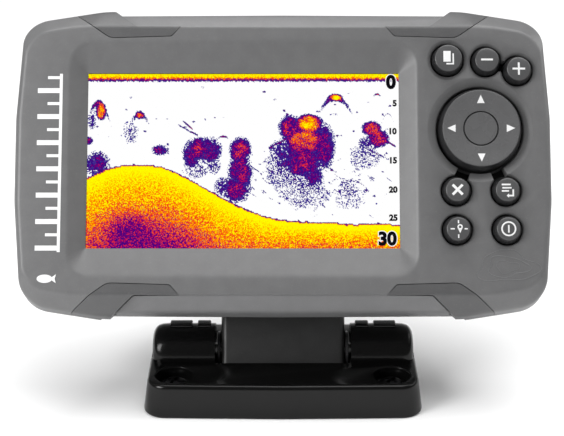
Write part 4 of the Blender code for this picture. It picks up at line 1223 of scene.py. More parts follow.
# %% [markdown]
# ## Keys
# A key is a turned cap: a slightly crowned face, an eased edge, a side that widens downwards to a
# skirt, and a flange that keeps it in. Only the radii differ, so one profile function serves all
# seven. The four-way pad is turned too, but its face is dished, and a groove rings the middle.

# %% Turned caps
KEY_TOP = 2.75                       # how far a key's face stands in front of the bezel
KEY_STEPS = 72


def key_crown(radius, face):
    """Height of a round key's face at a radius."""
    return KEY_TOP - 0.16 * (radius / face) ** 2


def key_profile(opening, face, flange_margin):
    """The profile of a round key from its middle down to its flange."""
    skirt = opening - 0.4
    crown = [(face * share, key_crown(face * share, face)) for share in (0.0, 0.25, 0.5, 0.7)]
    edge = curved_profile([(face * 0.7, key_crown(face * 0.7, face)),
                           (face, key_crown(face, face) - 0.02),
                           (skirt - 0.25, 0.7), (skirt, -0.5), (skirt, -5.2)], [0.45, 0.5, 0.4], 5)
    flange = skirt + flange_margin
    foot = [(flange, -5.2), (flange, -6.0), (0.0, -6.0)]
    return crown + edge[1:] + foot


SHADE_LEAN = 0.86                    # faces that look less towards the user than this get the painted shade


def paint_skirt_shade(piece):
    """Give the sides of a cap a darker material: painted shade on the faces turned away from the user."""
    piece.data.materials.append(SKIRT_SHADE_GREY)
    for polygon in piece.data.polygons:
        if -polygon.normal.dot(W_AXIS) < SHADE_LEAN:
            polygon.material_index = 1


for name, (opening, face, _) in KEYS.items():
    margin = 0.15 if name.startswith("zoom") else 0.7
    cap = lathe(name + "_cap", key_profile(opening, face, margin), (*KEY_AT[name], 0.0), KEY_STEPS)
    finish_piece(cap, KEY_GREY, name, [name], angle=40.0)
    # the cap's sides get the painted shade
    paint_skirt_shade(cap)


# %% The four-way pad
def pad_face(radius):
    """Height of the pad's dished face at a radius."""
    return 1.75 + 0.95 * (radius / 11.4) ** 2


def pad_profile():
    """The pad from its middle out over the rim and down the skirt to the flange."""
    middle_disc = [(radius, pad_face(radius) + 0.05) for radius in (0.0, 1.5, 3.0, 4.3)]
    groove = curved_profile([(4.3, pad_face(4.3) + 0.05), (4.95, pad_face(4.95) + 0.05),
                             (5.06, pad_face(5) - 0.45), (5.2, pad_face(5) - 0.45),
                             (5.34, pad_face(5.34)), (6.0, pad_face(6.0))], [0.1, 0.05, 0.05, 0.1], 3)
    dish = [(radius, pad_face(radius)) for radius in (7.0, 8.0, 9.0, 10.0, 10.8)]
    rim = curved_profile([(11.0, pad_face(11.0)), (11.65, pad_face(11.5)), (12.3, 0.9), (12.6, -0.8),
                          (12.6, -5.8)], [0.35, 0.6, 0.5], 5)
    return middle_disc + groove[1:] + dish + rim + [(13.3, -5.8), (13.3, -6.1), (0.0, -6.1)]


pad = lathe("direction_pad_cap", pad_profile(), (*PAD_AT, 0.0), 128)
finish_piece(pad, PAD_GREY, "direction_pad", ["direction_pad"], angle=40.0)
# the pad's sides get the painted shade
paint_skirt_shade(pad)

# %% [markdown]
# ## Printed symbols
# The white symbols are thin raised prints that follow the crown of the key. Each is a few flat
# shapes in the key's own plane. Every shape is cut into small faces, laid on the crown by its
# height function, and given a thickness, so it rides on the key without sinking into it.

# %% Flat shapes
def bar(x, y, width, height, turn=0.0):
    """A rectangle about a point, turned by an angle in degrees."""
    spin = Matrix.Rotation(math.radians(turn), 2)
    corners = [(-width / 2, -height / 2), (width / 2, -height / 2), (width / 2, height / 2),
               (-width / 2, height / 2)]
    return [[Vector((x, y)) + spin @ Vector(corner) for corner in corners]]


def band_ring(x, y, outer, inner, steps=40):
    """A flat ring as a row of four-sided faces."""
    faces = []
    for step in range(steps):
        first = math.tau * step / steps
        last = math.tau * (step + 1) / steps
        faces.append([Vector((x + radius * math.cos(angle), y + radius * math.sin(angle)))
                      for radius, angle in ((inner, first), (outer, first), (outer, last),
                                            (inner, last))])
    return faces


def plus(size, thickness, turn):
    """A cross of two bars as one twelve-cornered outline, in three faces that meet edge to edge."""
    arm = size / 2
    half = thickness / 2
    spin = Matrix.Rotation(math.radians(turn), 2)
    parts = [[(-arm, -half), (-half, -half), (-half, half), (-arm, half)],
             [(half, -half), (arm, -half), (arm, half), (half, half)],
             [(-half, -half), (-half, -arm), (half, -arm), (half, -half), (half, half), (half, arm),
              (-half, arm), (-half, half)]]
    return [[spin @ Vector(corner) for corner in part] for part in parts]


def polygon(*corners):
    """One flat face from its corners."""
    return [[Vector(corner) for corner in corners]]


# %% Laying a symbol on a key
PRINT_PROUD = 0.05
PRINT_DEPTH = 0.2


def symbol(name, faces, centre, height_at, body):
    """A thin white print of flat faces (mm from the centre) laid on a face of the given height."""
    shape = bmesh.new()
    for corners in faces:
        shape.faces.new([shape.verts.new((corner.x, corner.y, 0.0)) for corner in corners])
    bmesh.ops.remove_doubles(shape, verts=shape.verts, dist=0.001)
    for face in shape.faces:
        face.normal_update()
        if face.normal.z < 0:
            face.normal_flip()
    bmesh.ops.triangulate(shape, faces=shape.faces)
    for _ in range(6):
        long_edges = [edge for edge in shape.edges if edge.calc_length() > 0.7]
        if not long_edges:
            break
        bmesh.ops.subdivide_edges(shape, edges=long_edges, cuts=1)
        bmesh.ops.triangulate(shape, faces=shape.faces)
    top = bmesh.ops.extrude_face_region(shape, geom=list(shape.faces))
    raised = {vertex for vertex in top["geom"] if isinstance(vertex, bmesh.types.BMVert)}
    for vertex in shape.verts:
        height = height_at(math.hypot(vertex.co.x, vertex.co.y))
        height += PRINT_PROUD if vertex in raised else -PRINT_DEPTH
        vertex.co = unit_point(centre[0] + vertex.co.x, centre[1] + vertex.co.y, -height)
    return finish_piece(piece_of(name, shape), SYMBOL_WHITE, body, angle=60.0)


# %% The symbols
PAGES = polygon((-1.25, -0.95), (0.55, -0.95), (0.55, 1.75), (-1.25, 1.75))
PAGES += polygon((-0.55, -1.65), (1.35, -1.65), (1.35, 1.15), (1.0, 1.15), (1.0, -1.3), (-0.55, -1.3))
MENU = polygon((-1.45, 1.05), (0.75, 1.05), (0.75, 1.45), (-1.45, 1.45))
MENU += polygon((-1.3, 0.25), (0.95, 0.25), (0.95, 0.62), (-1.3, 0.62))
MENU += polygon((-1.45, -0.52), (0.3, -0.52), (0.3, -0.15), (-1.45, -0.15))
MENU += polygon((-0.3, -1.5), (0.3, -0.95), (0.3, -1.28), (1.15, -1.28), (1.15, 0.05), (1.55, 0.05),
                (1.55, -1.7), (0.3, -1.7), (0.3, -2.02))
PIN = band_ring(0.35, 0.45, 0.62, 0.3, 28)
PIN += polygon((-0.15, 0.05), (0.0, -0.1), (0.35, -0.2), (0.7, -0.1), (0.85, 0.05), (0.35, -1.0))
WAYPOINT = bar(-1.35, 0.0, 0.95, 0.3) + bar(1.75, 0.0, 0.75, 0.3) + bar(0.0, 1.65, 0.3, 0.75)
WAYPOINT += bar(0.0, -1.7, 0.3, 0.85) + PIN
SYMBOLS = {
    "page_key": PAGES,
    "zoom_out_key": bar(0.0, 0.0, 3.1, 0.5),
    "zoom_in_key": plus(3.3, 0.5, 0.0),
    "exit_key": plus(3.9, 0.72, 45.0),
    "menu_key": MENU,
    "waypoint_key": WAYPOINT,
    "power_key": band_ring(0.0, 0.0, 2.25, 1.78) + bar(0.0, 0.0, 0.46, 2.3),
}
SYMBOL_SCALE = {"page_key": 1.22, "zoom_out_key": 1.15, "zoom_in_key": 1.15, "exit_key": 1.08,
                "menu_key": 1.22, "waypoint_key": 1.3, "power_key": 1.0}
for name, faces in SYMBOLS.items():
    face = KEYS[name][1]
    faces = [[corner * SYMBOL_SCALE[name] for corner in shape] for shape in faces]
    symbol(name + "_symbol", faces, KEY_AT[name], lambda radius: key_crown(radius, face), name)
for name, turn in (("up", 0), ("left", 90), ("down", 180), ("right", 270)):
    spin = Matrix.Rotation(math.radians(turn), 2)
    triangle = [[spin @ Vector(corner) for corner in ((-1.15, 7.7), (1.15, 7.7), (0.0, 10.2))]]
    symbol("pad_arrow_" + name, triangle, PAD_AT, pad_face, "direction_pad")

# %% [markdown]
# ## Printed marks on the bezel
# The left edge of the face carries a white print. Here it is a plain depth ruler with long and short
# ticks and a fish pictogram. They are flat shapes with a thickness, like the key symbols. Fine raised
# contour lines, as on a lake chart, run over the lower right corner; their lighter grey is a painted highlight.

# %% Ruler and fish
RULER_U, RULER_V = -70.6, -1.0
FISH_AT = (-70.9, -36.2)


def flat_height(radius):
    """The bezel's face is flat: the same height at every radius."""
    return 0.0


ruler = bar(3.35, 0.0, 0.9, 54.4)
for tick in range(14):
    width, height = (6.6, 1.5) if tick % 2 == 0 else (3.6, 0.9)
    ruler += bar(2.9 - width / 2, -26.0 + 4.0 * tick, width, height)
fish = [[Vector((2.35 * math.cos(angle) - 0.3, 1.25 * math.sin(angle)))
         for angle in (math.tau * step / 28 for step in range(28))]]
fish += polygon((1.85, 0.45), (3.1, 1.35), (2.75, 0.0), (3.1, -1.35), (1.85, -0.45))
for name, faces, centre in (("depth_ruler", ruler, (RULER_U, RULER_V)), ("fish_mark", fish, FISH_AT)):
    symbol(name, faces, centre, flat_height, "display_unit")


# %% Contour lines of a lake chart
def contour_lines():
    """A node tree: a thin flat ribbon along each curve of the input."""
    inputs = {"Lines": "Geometry", "Width": "Float", "Material": "Material"}
    tree = blank_tree("contour_lines", inputs, "Ridges")
    entry = tree.nodes.new("NodeGroupInput")
    entry.label = "lines and width"
    smooth = tree.nodes.new("GeometryNodeMeshToCurve")
    smooth.label = "edges to curves"
    section = tree.nodes.new("GeometryNodeCurvePrimitiveCircle")
    section.label = "rounded ridge"
    section.inputs["Resolution"].default_value = 8
    ridge = tree.nodes.new("GeometryNodeCurveToMesh")
    ridge.label = "ridge along the line"
    ridge.inputs["Fill Caps"].default_value = True
    whole = tree.nodes.new("GeometryNodeRealizeInstances")
    whole.label = "plain mesh"
    paint = tree.nodes.new("GeometryNodeSetMaterial")
    paint.label = "bezel plastic"
    leave = tree.nodes.new("NodeGroupOutput")
    leave.label = "ridges"
    tree.links.new(entry.outputs["Lines"], smooth.inputs["Mesh"])
    tree.links.new(entry.outputs["Width"], section.inputs["Radius"])
    tree.links.new(smooth.outputs["Curve"], ridge.inputs["Curve"])
    tree.links.new(section.outputs["Curve"], ridge.inputs["Profile Curve"])
    tree.links.new(ridge.outputs["Mesh"], whole.inputs["Geometry"])
    tree.links.new(whole.outputs["Geometry"], paint.inputs["Geometry"])
    tree.links.new(entry.outputs["Material"], paint.inputs["Material"])
    tree.links.new(paint.outputs["Geometry"], leave.inputs["Ridges"])
    lay_out(tree)
    return tree


CHART_AT = (67.0, -32.6)


def chart_mark():
    """Three nested, wavering closed lines just proud of the bezel's face."""
    points, edges = [], []
    steps = 72
    for size in (1.0, 1.75, 2.6):
        first = len(points)
        for step in range(steps):
            angle = math.tau * step / steps
            swell = 1.0 + 0.16 * math.sin(3 * angle + size) + 0.07 * math.sin(5 * angle - 2 * size)
            u = CHART_AT[0] + 3.4 * size * swell * math.cos(angle)
            v = CHART_AT[1] + 1.75 * size * swell * math.sin(angle)
            points.append(UNIT_TO_WORLD @ unit_point(u, v, 0.02))
        edges += [(first + step, first + (step + 1) % steps) for step in range(steps)]
    mesh = bpy.data.meshes.new("chart_mark")
    mesh.from_pydata([tuple(point) for point in points], edges, [])
    return run_tree(new_object("chart_mark", mesh), contour_lines(),
                    {"Width": 0.13 * MM, "Material": BEZEL_GREY})


# the ridges take the slightly lighter housing grey: a painted highlight along the raised lines
finish_piece(chart_mark(), HOUSING_GREY, "display_unit")

# %% [markdown]
# ## Which body and slot a node has
# Small pieces stand for CAD nodes that the record lists under a body and a material slot. Reading
# the lists keeps each new piece on the same body as the node that it replaces.

# %% Body and slot of each node
BODY_OF = {node: body for body, nodes in frame["record"]["behaviour"]["bodies"].items()
           for node in nodes}
SLOT_OF = {part["node"]: part["material_slot"] for part in frame["record"]["subparts"]}
print(len(BODY_OF), "nodes on", len(set(BODY_OF.values())), "bodies,", len(set(SLOT_OF.values())), "slots")

# %% [markdown]
# ## The bracket's foot
# The foot is one glossy black moulding: a plate with slightly leaning walls and rolled edges, a
# back half that slopes down to a thin edge, and a domed barrel that holds the tilt pin. A slot in
# the middle takes the arm. Corners are sections with large radii, and each mouth is a flared cutter.

# %% Sections of the plate
BASE_HALF_W = 42.7
BASE_FRONT, BASE_BACK = 32.9, 28.6
BASE_LEVEL = Matrix.Identity(4)
PIN_BORE = 2.6                       # radius of the bore for the tilt pin


def centre_of(node):
    """The middle of a CAD node's box, in millimetres."""
    corner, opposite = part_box(node)
    return tuple((corner[axis] + opposite[axis]) / 2 / MM for axis in range(3))


PIVOT = centre_of("pivot_pin")
SCREWS = {name: centre_of(name)[:2] for name in ("base_screw_%d" % number for number in range(1, 5))}
print("pivot at", [round(part, 2) for part in PIVOT])


def base_ring(z, inset):
    """One level section of the plate, bowed a little at the front and narrower at the back."""
    half_w = BASE_HALF_W - inset
    front = -BASE_FRONT + inset
    back = BASE_BACK - inset
    back_w = half_w - 4.5
    corners = [(half_w, front + 0.8, 6.5), (half_w, 2.0, 0), (back_w, back - 0.8, 8.0),
               (20.0, back - 0.3, 0), (0.0, back, 0), (-20.0, back - 0.3, 0),
               (-back_w, back - 0.8, 8.0), (-half_w, 2.0, 0), (-half_w, front + 0.8, 6.5),
               (-20.0, front + 0.3, 0), (0.0, front, 0), (20.0, front + 0.3, 0)]
    return [Vector((point.x * MM, point.y * MM, z * MM)) for point, normal in rounded_outline(corners, 12)]


def upright(name, profile, x, y, steps=64):
    """A profile of radius and height (mm) turned round a vertical axis."""
    stand = Matrix.Translation(Vector((x, y, 0.0)) * MM)
    return lathe(name, profile, (0.0, 0.0, 0.0), steps, stand)


def across_x(name, profile, steps=96, hollow=False):
    """A profile of radius and x position (mm) turned round the tilt axis."""
    lie = Matrix.Translation(Vector((0.0, PIVOT[1], PIVOT[2])) * MM) @ Matrix.Rotation(math.pi / 2, 4, "Y")
    return lathe(name, profile, (0.0, 0.0, 0.0), steps, lie, hollow)


# %% The plate, the barrel and the slot
def bracket_foot():
    """The whole foot with its slot, bore, wells and hollows."""
    lower = [(0.0, 0.55), (0.15, 0.2), (0.5, 0.02), (1.0, 0.0)]
    upper = [(8.9, 1.08), (9.4, 1.15), (9.8, 1.28), (10.15, 1.5), (10.42, 1.85), (10.55, 2.25), (10.6, 2.7)]
    foot = skin("bracket_foot", [base_ring(z, inset) for z, inset in lower + upper], BASE_LEVEL)
    end = 40.9
    barrel = across_x("barrel", [
        (0.0, end), (5.2, end), (6.2, end - 0.2), (7.0, end - 0.6), (7.6, end - 1.1), (8.1, end - 1.8),
        (8.48, end - 3.2), (8.6, end - 5.2), (8.6, 0.0), (8.6, 5.2 - end), (8.48, 3.2 - end),
        (8.1, 1.8 - end), (7.6, 1.1 - end), (7.0, 0.6 - end), (6.2, 0.2 - end), (5.2, -end), (0.0, -end)])
    carve(foot, barrel, operation="UNION")
    for side in (-1, 1):
        for offset, length in ((32.0, 7.0), (24.8, 4.2)):
            rib = box_between("rib", (side * offset - length / 2, PIVOT[1] - 1.0, -PIVOT[2] - 9.15),
                              (side * offset + length / 2, PIVOT[1] + 3.0, -PIVOT[2] - 7.6), BASE_LEVEL)
            carve(foot, rounded(rib, 0.35, 3), operation="UNION")
    wedge = ((10.0, 11.1), (40.0, -3.0), (40.0, 30.0), (10.0, 30.0))
    slope = skin("slope", [[Vector((x, y, z)) * MM for y, z in wedge] for x in (-60.0, 60.0)], BASE_LEVEL)
    low, high = PIVOT[1] - 8.8, PIVOT[1] + 13.0
    rings = []
    for z, spread in ((1.9, 0.0), (9.9, 0.0), (10.3, 0.12), (10.55, 0.4), (11.0, 0.4), (40.0, 0.4)):
        side = 20.85 + spread
        rings.append([Vector((x, y, z)) * MM for x, y in (
            (-side, low - spread), (side, low - spread), (side, high + spread), (-side, high + spread))])
    slot = skin("slot", rings, BASE_LEVEL)
    carve(foot, slope, slot, across_x("bore", [(0.0, -50.0), (PIN_BORE, -50.0), (PIN_BORE, 50.0),
                                               (0.0, 50.0)], 48))
    for side in (-1, 1):
        inner, outer = sorted((side * 37.9, side * 43.9))
        seat = across_x("seat", [(0.0, inner), (4.3, inner), (4.3, outer), (0.0, outer)], 64)
        hollow = box_between("hollow", (side * 31.0 - 7.5, -15.0, -3.0),
                             (side * 31.0 + 7.5, 9.0, 3.0), BASE_LEVEL)
        carve(foot, seat, hollow)
    for x, y in SCREWS.values():
        floor, mouth = (6.4, 10.6) if y < 0 else (3.0, 11.0)
        profile = [(0.0, floor), (5.2, floor), (5.45, floor + 0.3), (5.45, mouth - 0.45),
                   (5.6, mouth - 0.15), (6.0, mouth + 0.02), (6.0, 20.0), (0.0, 20.0)]
        well = upright("well", profile, x, y, 72)
        hole = upright("hole", [(0.0, -2.0), (2.4, -2.0), (2.4, 20.0), (0.0, 20.0)], x, y, 32)
        carve(foot, well, hole)
    return foot


foot = bracket_foot()
finish_piece(foot, FOOT_BLACK, "bracket", ["bracket_base"], angle=28.0)

# %% [markdown]
# ## Screws
# The four screws of the foot, the four of the case and the four of the circuit board are each one
# turned head with a cross cut in it. Blender Geometry Nodes sets one model on a row of points, and
# each row is then turned into a plain mesh that rides on its own body.

# %% One pan-head screw
def screw_model(name, head_r, head_h, shank_r, length, cross):
    """A pan-head screw with its head's underside at height 0, pointing down."""
    profile = curved_profile([(0.0, head_h), (head_r * 0.62, head_h * 0.88), (head_r * 0.95, head_h * 0.45),
                              (head_r, 0.0), (shank_r, 0.0), (shank_r, -length), (0.0, -length)],
                             [head_r * 0.3, head_r * 0.15, 0.1, 0.0, 0.0], 4)
    screw = lathe(name, profile, (0.0, 0.0, 0.0), 48, BASE_LEVEL)
    for wide, deep in ((cross, cross * 0.22), (cross * 0.22, cross)):
        rings = []
        for z, grow in ((head_h * 0.2, -0.18), (head_h * 0.85, 0.0), (head_h + 0.5, 0.12)):
            rings.append([Vector((x * (wide / 2 + grow), y * (deep / 2 + max(grow, -0.1)), z)) * MM
                          for x, y in ((-1, -1), (1, -1), (1, 1), (-1, 1))])
        carve(screw, skin("cross", rings, BASE_LEVEL))
    return screw


# %% The node tree that sets screws on points
def set_on_points():
    """A node tree: instances of a model on a mesh's points, turned alike, with its material."""
    inputs = {"Points": "Geometry", "Model": "Object", "Turn": "Rotation", "Material": "Material"}
    tree = blank_tree("set_on_points", inputs, "Pieces")
    entry = tree.nodes.new("NodeGroupInput")
    entry.label = "points and model"
    model = tree.nodes.new("GeometryNodeObjectInfo")
    model.label = "the model"
    model.transform_space = "ORIGINAL"
    spin = tree.nodes.new("FunctionNodeRandomValue")
    spin.label = "no two stopped at the same angle"
    spin.data_type = "FLOAT_VECTOR"
    spin.inputs[0].default_value = (0.0, 0.0, 0.0)
    spin.inputs[1].default_value = (0.0, 0.0, math.tau)
    spin.inputs["Seed"].default_value = 4
    setting = tree.nodes.new("GeometryNodeInstanceOnPoints")
    setting.label = "one on each point"
    turning = tree.nodes.new("GeometryNodeRotateInstances")
    turning.label = "stopping angle"
    whole = tree.nodes.new("GeometryNodeRealizeInstances")
    whole.label = "plain mesh"
    paint = tree.nodes.new("GeometryNodeSetMaterial")
    paint.label = "metal"
    leave = tree.nodes.new("NodeGroupOutput")
    leave.label = "finished pieces"
    tree.links.new(entry.outputs["Points"], setting.inputs["Points"])
    tree.links.new(entry.outputs["Model"], model.inputs["Object"])
    tree.links.new(model.outputs["Geometry"], setting.inputs["Instance"])
    tree.links.new(entry.outputs["Turn"], setting.inputs["Rotation"])
    tree.links.new(setting.outputs["Instances"], turning.inputs["Instances"])
    tree.links.new(spin.outputs[0], turning.inputs["Rotation"])
    tree.links.new(turning.outputs["Instances"], whole.inputs["Geometry"])
    tree.links.new(whole.outputs["Geometry"], paint.inputs["Geometry"])
    tree.links.new(entry.outputs["Material"], paint.inputs["Material"])
    tree.links.new(paint.outputs["Geometry"], leave.inputs["Pieces"])
    lay_out(tree)
    return tree


SET_ON_POINTS = set_on_points()


def screw_row(name, model, places, turn, material, body, nodes):
    """A row of screws at world places (m), as one piece on a body."""
    mesh = bpy.data.meshes.new(name)
    mesh.from_pydata([tuple(place) for place in places], [], [])
    row = run_tree(new_object(name, mesh), SET_ON_POINTS,
                   {"Model": model, "Turn": turn, "Material": material})
    finish_piece(row, material, body, nodes)


foot_screw = screw_model("foot_screw", 4.05, 2.4, 2.1, 2.0, 4.4)
case_screw = screw_model("case_screw", 2.9, 1.9, 1.45, 6.0, 3.0)
board_screw = screw_model("board_screw", 2.0, 1.2, 1.1, 3.0, 2.0)
seats = [Vector((x, y, 6.7 if y < 0 else 3.3)) * MM for x, y in SCREWS.values()]
screw_row("foot_screws", foot_screw, seats, (0.0, 0.0, 0.0), BLACK_STEEL, "bracket", list(SCREWS))

# %% [markdown]
# ## Arm, button and spring
# The arm is a squared bar with rounded long edges, side rails for the unit's grooves, and pockets
# in its back for the release button and to save weight. The button has finger grooves. The coil
# spring under it is a Geometry Nodes spiral given a round wire section.

# %% The arm
arm = rounded(box_between("arm_bar", (-19.35, -62.6, 24.5), (19.35, 6.0, 37.3)), 2.0, 6)
rails = rounded(box_between("rails", (-21.25, -34.0, 28.9), (21.25, 3.0, 32.9)), 0.5, 3)
carve(arm, rails, operation="UNION")
ARM_FLARE = ((28.4, 0.0), (36.9, 0.0), (37.2, 0.15), (37.5, 0.5), (40.0, 0.5))
pocket = flared_box("pocket", (-7.0, -10.6), (7.0, 3.0), ARM_FLARE)
hollow = flared_box("hollow", (-14.5, -44.0), (14.5, -15.0), ARM_FLARE)
carve(arm, pocket, hollow,
      across_x("bore", [(0.0, -30.0), (PIN_BORE, -30.0), (PIN_BORE, 30.0), (0.0, 30.0)], 48))
finish_piece(arm, ARM_BLACK, "tilt_arm", ["tilt_arm"])

# %% The release button
button = rounded(box_between("button_cap", (-6.6, -10.2, 33.2), (6.6, 2.6, 37.1)), 0.7, 4)
for number in range(4):
    v = -7.8 + 3.0 * number
    groove = lathe("groove", [(0.0, -4.6), (0.55, -4.4), (0.7, -4.0), (0.7, 4.0), (0.55, 4.4), (0.0, 4.6)],
                   (0.0, 0.0, 0.0), 24, Matrix.Rotation(math.pi / 2, 4, "Y"))
    groove.data.transform(UNIT_TO_WORLD @ Matrix.Translation(unit_point(0.0, v, 37.1)))
    carve(button, groove)
finish_piece(button, BUTTON_GREY, "release_button", ["release_button"])


# %% The coil spring
def coil():
    """A node tree: a spiral of round wire."""
    tree = blank_tree("coil", {"Turns": "Float", "Height": "Float", "Material": "Material"}, "Spring")
    entry = tree.nodes.new("NodeGroupInput")
    entry.label = "turns and height"
    spiral = tree.nodes.new("GeometryNodeCurveSpiral")
    spiral.label = "the wire's path"
    spiral.inputs["Resolution"].default_value = 40
    spiral.inputs["Start Radius"].default_value = 2.6 * MM
    spiral.inputs["End Radius"].default_value = 2.6 * MM
    wire = tree.nodes.new("GeometryNodeCurvePrimitiveCircle")
    wire.label = "round wire"
    wire.inputs["Resolution"].default_value = 12
    wire.inputs["Radius"].default_value = 0.25 * MM
    sweep_wire = tree.nodes.new("GeometryNodeCurveToMesh")
    sweep_wire.label = "wire along the path"
    sweep_wire.inputs["Fill Caps"].default_value = True
    whole = tree.nodes.new("GeometryNodeRealizeInstances")
    whole.label = "plain mesh"
    paint = tree.nodes.new("GeometryNodeSetMaterial")
    paint.label = "spring steel"
    leave = tree.nodes.new("NodeGroupOutput")
    leave.label = "spring"
    tree.links.new(entry.outputs["Turns"], spiral.inputs["Rotations"])
    tree.links.new(entry.outputs["Height"], spiral.inputs["Height"])
    tree.links.new(spiral.outputs["Curve"], sweep_wire.inputs["Curve"])
    tree.links.new(wire.outputs["Curve"], sweep_wire.inputs["Profile Curve"])
    tree.links.new(sweep_wire.outputs["Mesh"], whole.inputs["Geometry"])
    tree.links.new(whole.outputs["Geometry"], paint.inputs["Geometry"])
    tree.links.new(entry.outputs["Material"], paint.inputs["Material"])
    tree.links.new(paint.outputs["Geometry"], leave.inputs["Spring"])
    lay_out(tree)
    return tree


def release_coil():
    """The spring behind the button, made by the node tree and set in its pocket."""
    spring = run_tree(new_object("release_coil", bpy.data.meshes.new("release_coil")), coil(),
                      {"Turns": 3.0, "Height": 3.7 * MM, "Material": SPRING_STEEL})
    spring.data.transform(UNIT_TO_WORLD @ Matrix.Translation(unit_point(0.0, -3.8, 32.65)))
    return spring


spring = finish_piece(release_coil(), SPRING_STEEL, BODY_OF["release_spring"],
                      ["release_spring"])
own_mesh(spring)

# %% [markdown]
# ## Pin, washers and caps
# A steel pin runs through barrel and arm. A washer on each side gives the tilt its friction, and a
# rubber cap closes each end of the bore. All are turned, with eased edges.

# %% Turned round the tilt axis
rod = curved_profile([(0.0, -35.0), (2.3, -35.0), (2.3, 35.0), (0.0, 35.0)], [0.4, 0.4], 4)
pin = across_x("pivot_rod", rod, 48)
finish_piece(pin, SCREW_STEEL, BODY_OF["pivot_pin"], ["pivot_pin"])
for name, side in (("left", -1), ("right", 1)):
    x = centre_of("friction_washer_" + name)[0]
    washer = across_x("washer_" + name, [(2.6, x + 0.4), (5.85, x + 0.45), (6.0, x + 0.3), (6.0, x - 0.3),
                                         (5.85, x - 0.45), (2.6, x - 0.45)], 64, True)
    node = "friction_washer_" + name
    finish_piece(washer, ACETAL_DARK, BODY_OF[node], [node])
    x = side * (BASE_HALF_W - 3.2)
    cap = across_x("cap_" + name, [(radius, x + side * height) for radius, height in curved_profile(
        [(0.0, 1.3), (2.8, 1.2), (4.0, 0.6), (4.0, -0.9), (0.0, -0.9)], [0.8, 0.4, 0.0], 4)], 48)
    finish_piece(cap, SILICONE_BLACK, BODY_OF["pivot_cap_" + name], ["pivot_cap_" + name])

# %% [markdown]
# ## Case and board screws
# The case screws stand in deep wells on the back, and the board screws hold the main board. They
# reuse the row of points, leaning with the unit.

# %% Screws that lean with the unit
LEAN_BACK = tuple((UNIT_TO_WORLD.to_3x3() @ Matrix.Rotation(math.pi, 3, "X")).to_euler())


def head_seats(names, head_h):
    """Where a row of screws' heads begin: the rearmost point of each CAD screw, less the head."""
    seats = []
    for node in names:
        u, v = middle(node)
        rear = (extent(node, W_AXIS)[1] - UNIT_ORIGIN.dot(W_AXIS)) / MM
        seats.append(UNIT_TO_WORLD @ unit_point(u, v, rear - head_h))
    return seats


case_names = ["case_screw_%d" % number for number in range(1, 5)]
board_names = ["board_screw_%d" % number for number in range(1, 5)]
screw_row("case_screws", case_screw, head_seats(case_names, 1.9), LEAN_BACK, SCREW_STEEL,
          BODY_OF["case_screw_1"], case_names)
screw_row("board_screws", board_screw, head_seats(board_names, 1.2), LEAN_BACK, SCREW_STEEL,
          BODY_OF["board_screw_1"], board_names)
for model in (foot_screw, case_screw, board_screw):
    bpy.data.objects.remove(model)

# %% [markdown]
# ## Socket and breather
# The power and sonar socket is a turned shell with rounded lips, a soft insert and five gold pins in
# a ring. The breather beside it is a small turned plug with a shallow ring in its face.

# %% The socket
shell = lathe("socket_barrel", curved_profile(
    [(0.0, -27.3), (10.0, -27.3), (10.0, -41.3), (12.4, -41.3), (12.4, -42.5), (11.9, -43.4), (8.3, -43.4),
     (8.0, -43.0), (8.0, -30.0), (0.0, -30.0)], [0.3, 0.0, 0.2, 0.3, 0.3, 0.2, 0.2, 0.3], 4),
    (*SOCKET_AT, 0.0), 96)
finish_piece(shell, SOCKET_BLACK, "display_unit", ["socket_shell"])
pin_names = ["socket_pin_%d" % number for number in range(1, 6)]
insert = lathe("socket_core", curved_profile(
    [(0.0, -32.3), (7.6, -32.3), (7.6, -30.3), (0.0, -30.3)], [0.4, 0.2], 4), (*SOCKET_AT, 0.0), 72)
holes = [round_cutter("hole", 0.95, 29.0, 35.0, middle(node), 24) for node in pin_names]
carve(insert, joined("pin_holes", holes))
finish_piece(insert, ACETAL_DARK, "display_unit", ["socket_insert"])
pin_model = lathe("pin_model", curved_profile(
    [(0.0, 0.0), (0.6, 0.0), (0.6, 4.6), (0.35, 4.9), (0.0, 4.9)], [0.1, 0.3, 0.15], 4), (0.0, 0.0, 0.0),
    24, BASE_LEVEL)
screw_row("socket_pins", pin_model, [UNIT_TO_WORLD @ unit_point(*middle(node), 30.4) for node in pin_names],
          LEAN_BACK, GOLD_CONTACT, "display_unit", pin_names)
bpy.data.objects.remove(pin_model)

# %% The breather
vent = lathe("breather", curved_profile(
    [(0.0, -38.0), (3.5, -38.0), (3.5, -40.3), (5.0, -40.3), (5.0, -41.0), (4.5, -41.4), (3.2, -41.4),
     (3.0, -41.0), (2.4, -41.0), (2.2, -41.4), (0.0, -41.4)],
    [0.2, 0.0, 0.2, 0.2, 0.3, 0.1, 0.1, 0.1, 0.1], 3), (*VENT_AT, 0.0), 72)
finish_piece(vent, SOCKET_BLACK, "display_unit", ["vent_plug"])

# %% [markdown]
# ## Pieces inside
# Boards, cans, seals and films keep their modelled shapes, which are right as they are. They only
# get the worn, grained materials of their slots.

# %% Materials for the nodes that stay
SLOT_PAINT = {
    "silicone": SILICONE_BLACK, "circuit_board": BOARD_GREEN, "tinned_steel": TINNED_STEEL,
    "ceramic": CERAMIC_BUFF, "acetal": ACETAL_DARK, "flex_film": FLEX_AMBER, "socket_plastic": SOCKET_BLACK,
    "spring_steel": SPRING_STEEL, "display": SOCKET_BLACK, "screw_steel": SCREW_STEEL,
}
inside = 0
for node, made in frame["nodes"].items():
    if made.hide_render:
        continue
    wanted = SLOT_OF[node]
    for place in made.material_slots:
        place.material = SLOT_PAINT[wanted]
    inside += 1
print(inside, "inner pieces repainted")

# %% [markdown]
# ## Floor, light and camera
# A pale sweep stands under and behind the object, so there is no horizon. Broad soft lamps give the
# plastic long gentle gradients: a large one overhead and a little behind, one to the left in front
# that brightens the left side, and a weak one on the right that lifts the right edge.

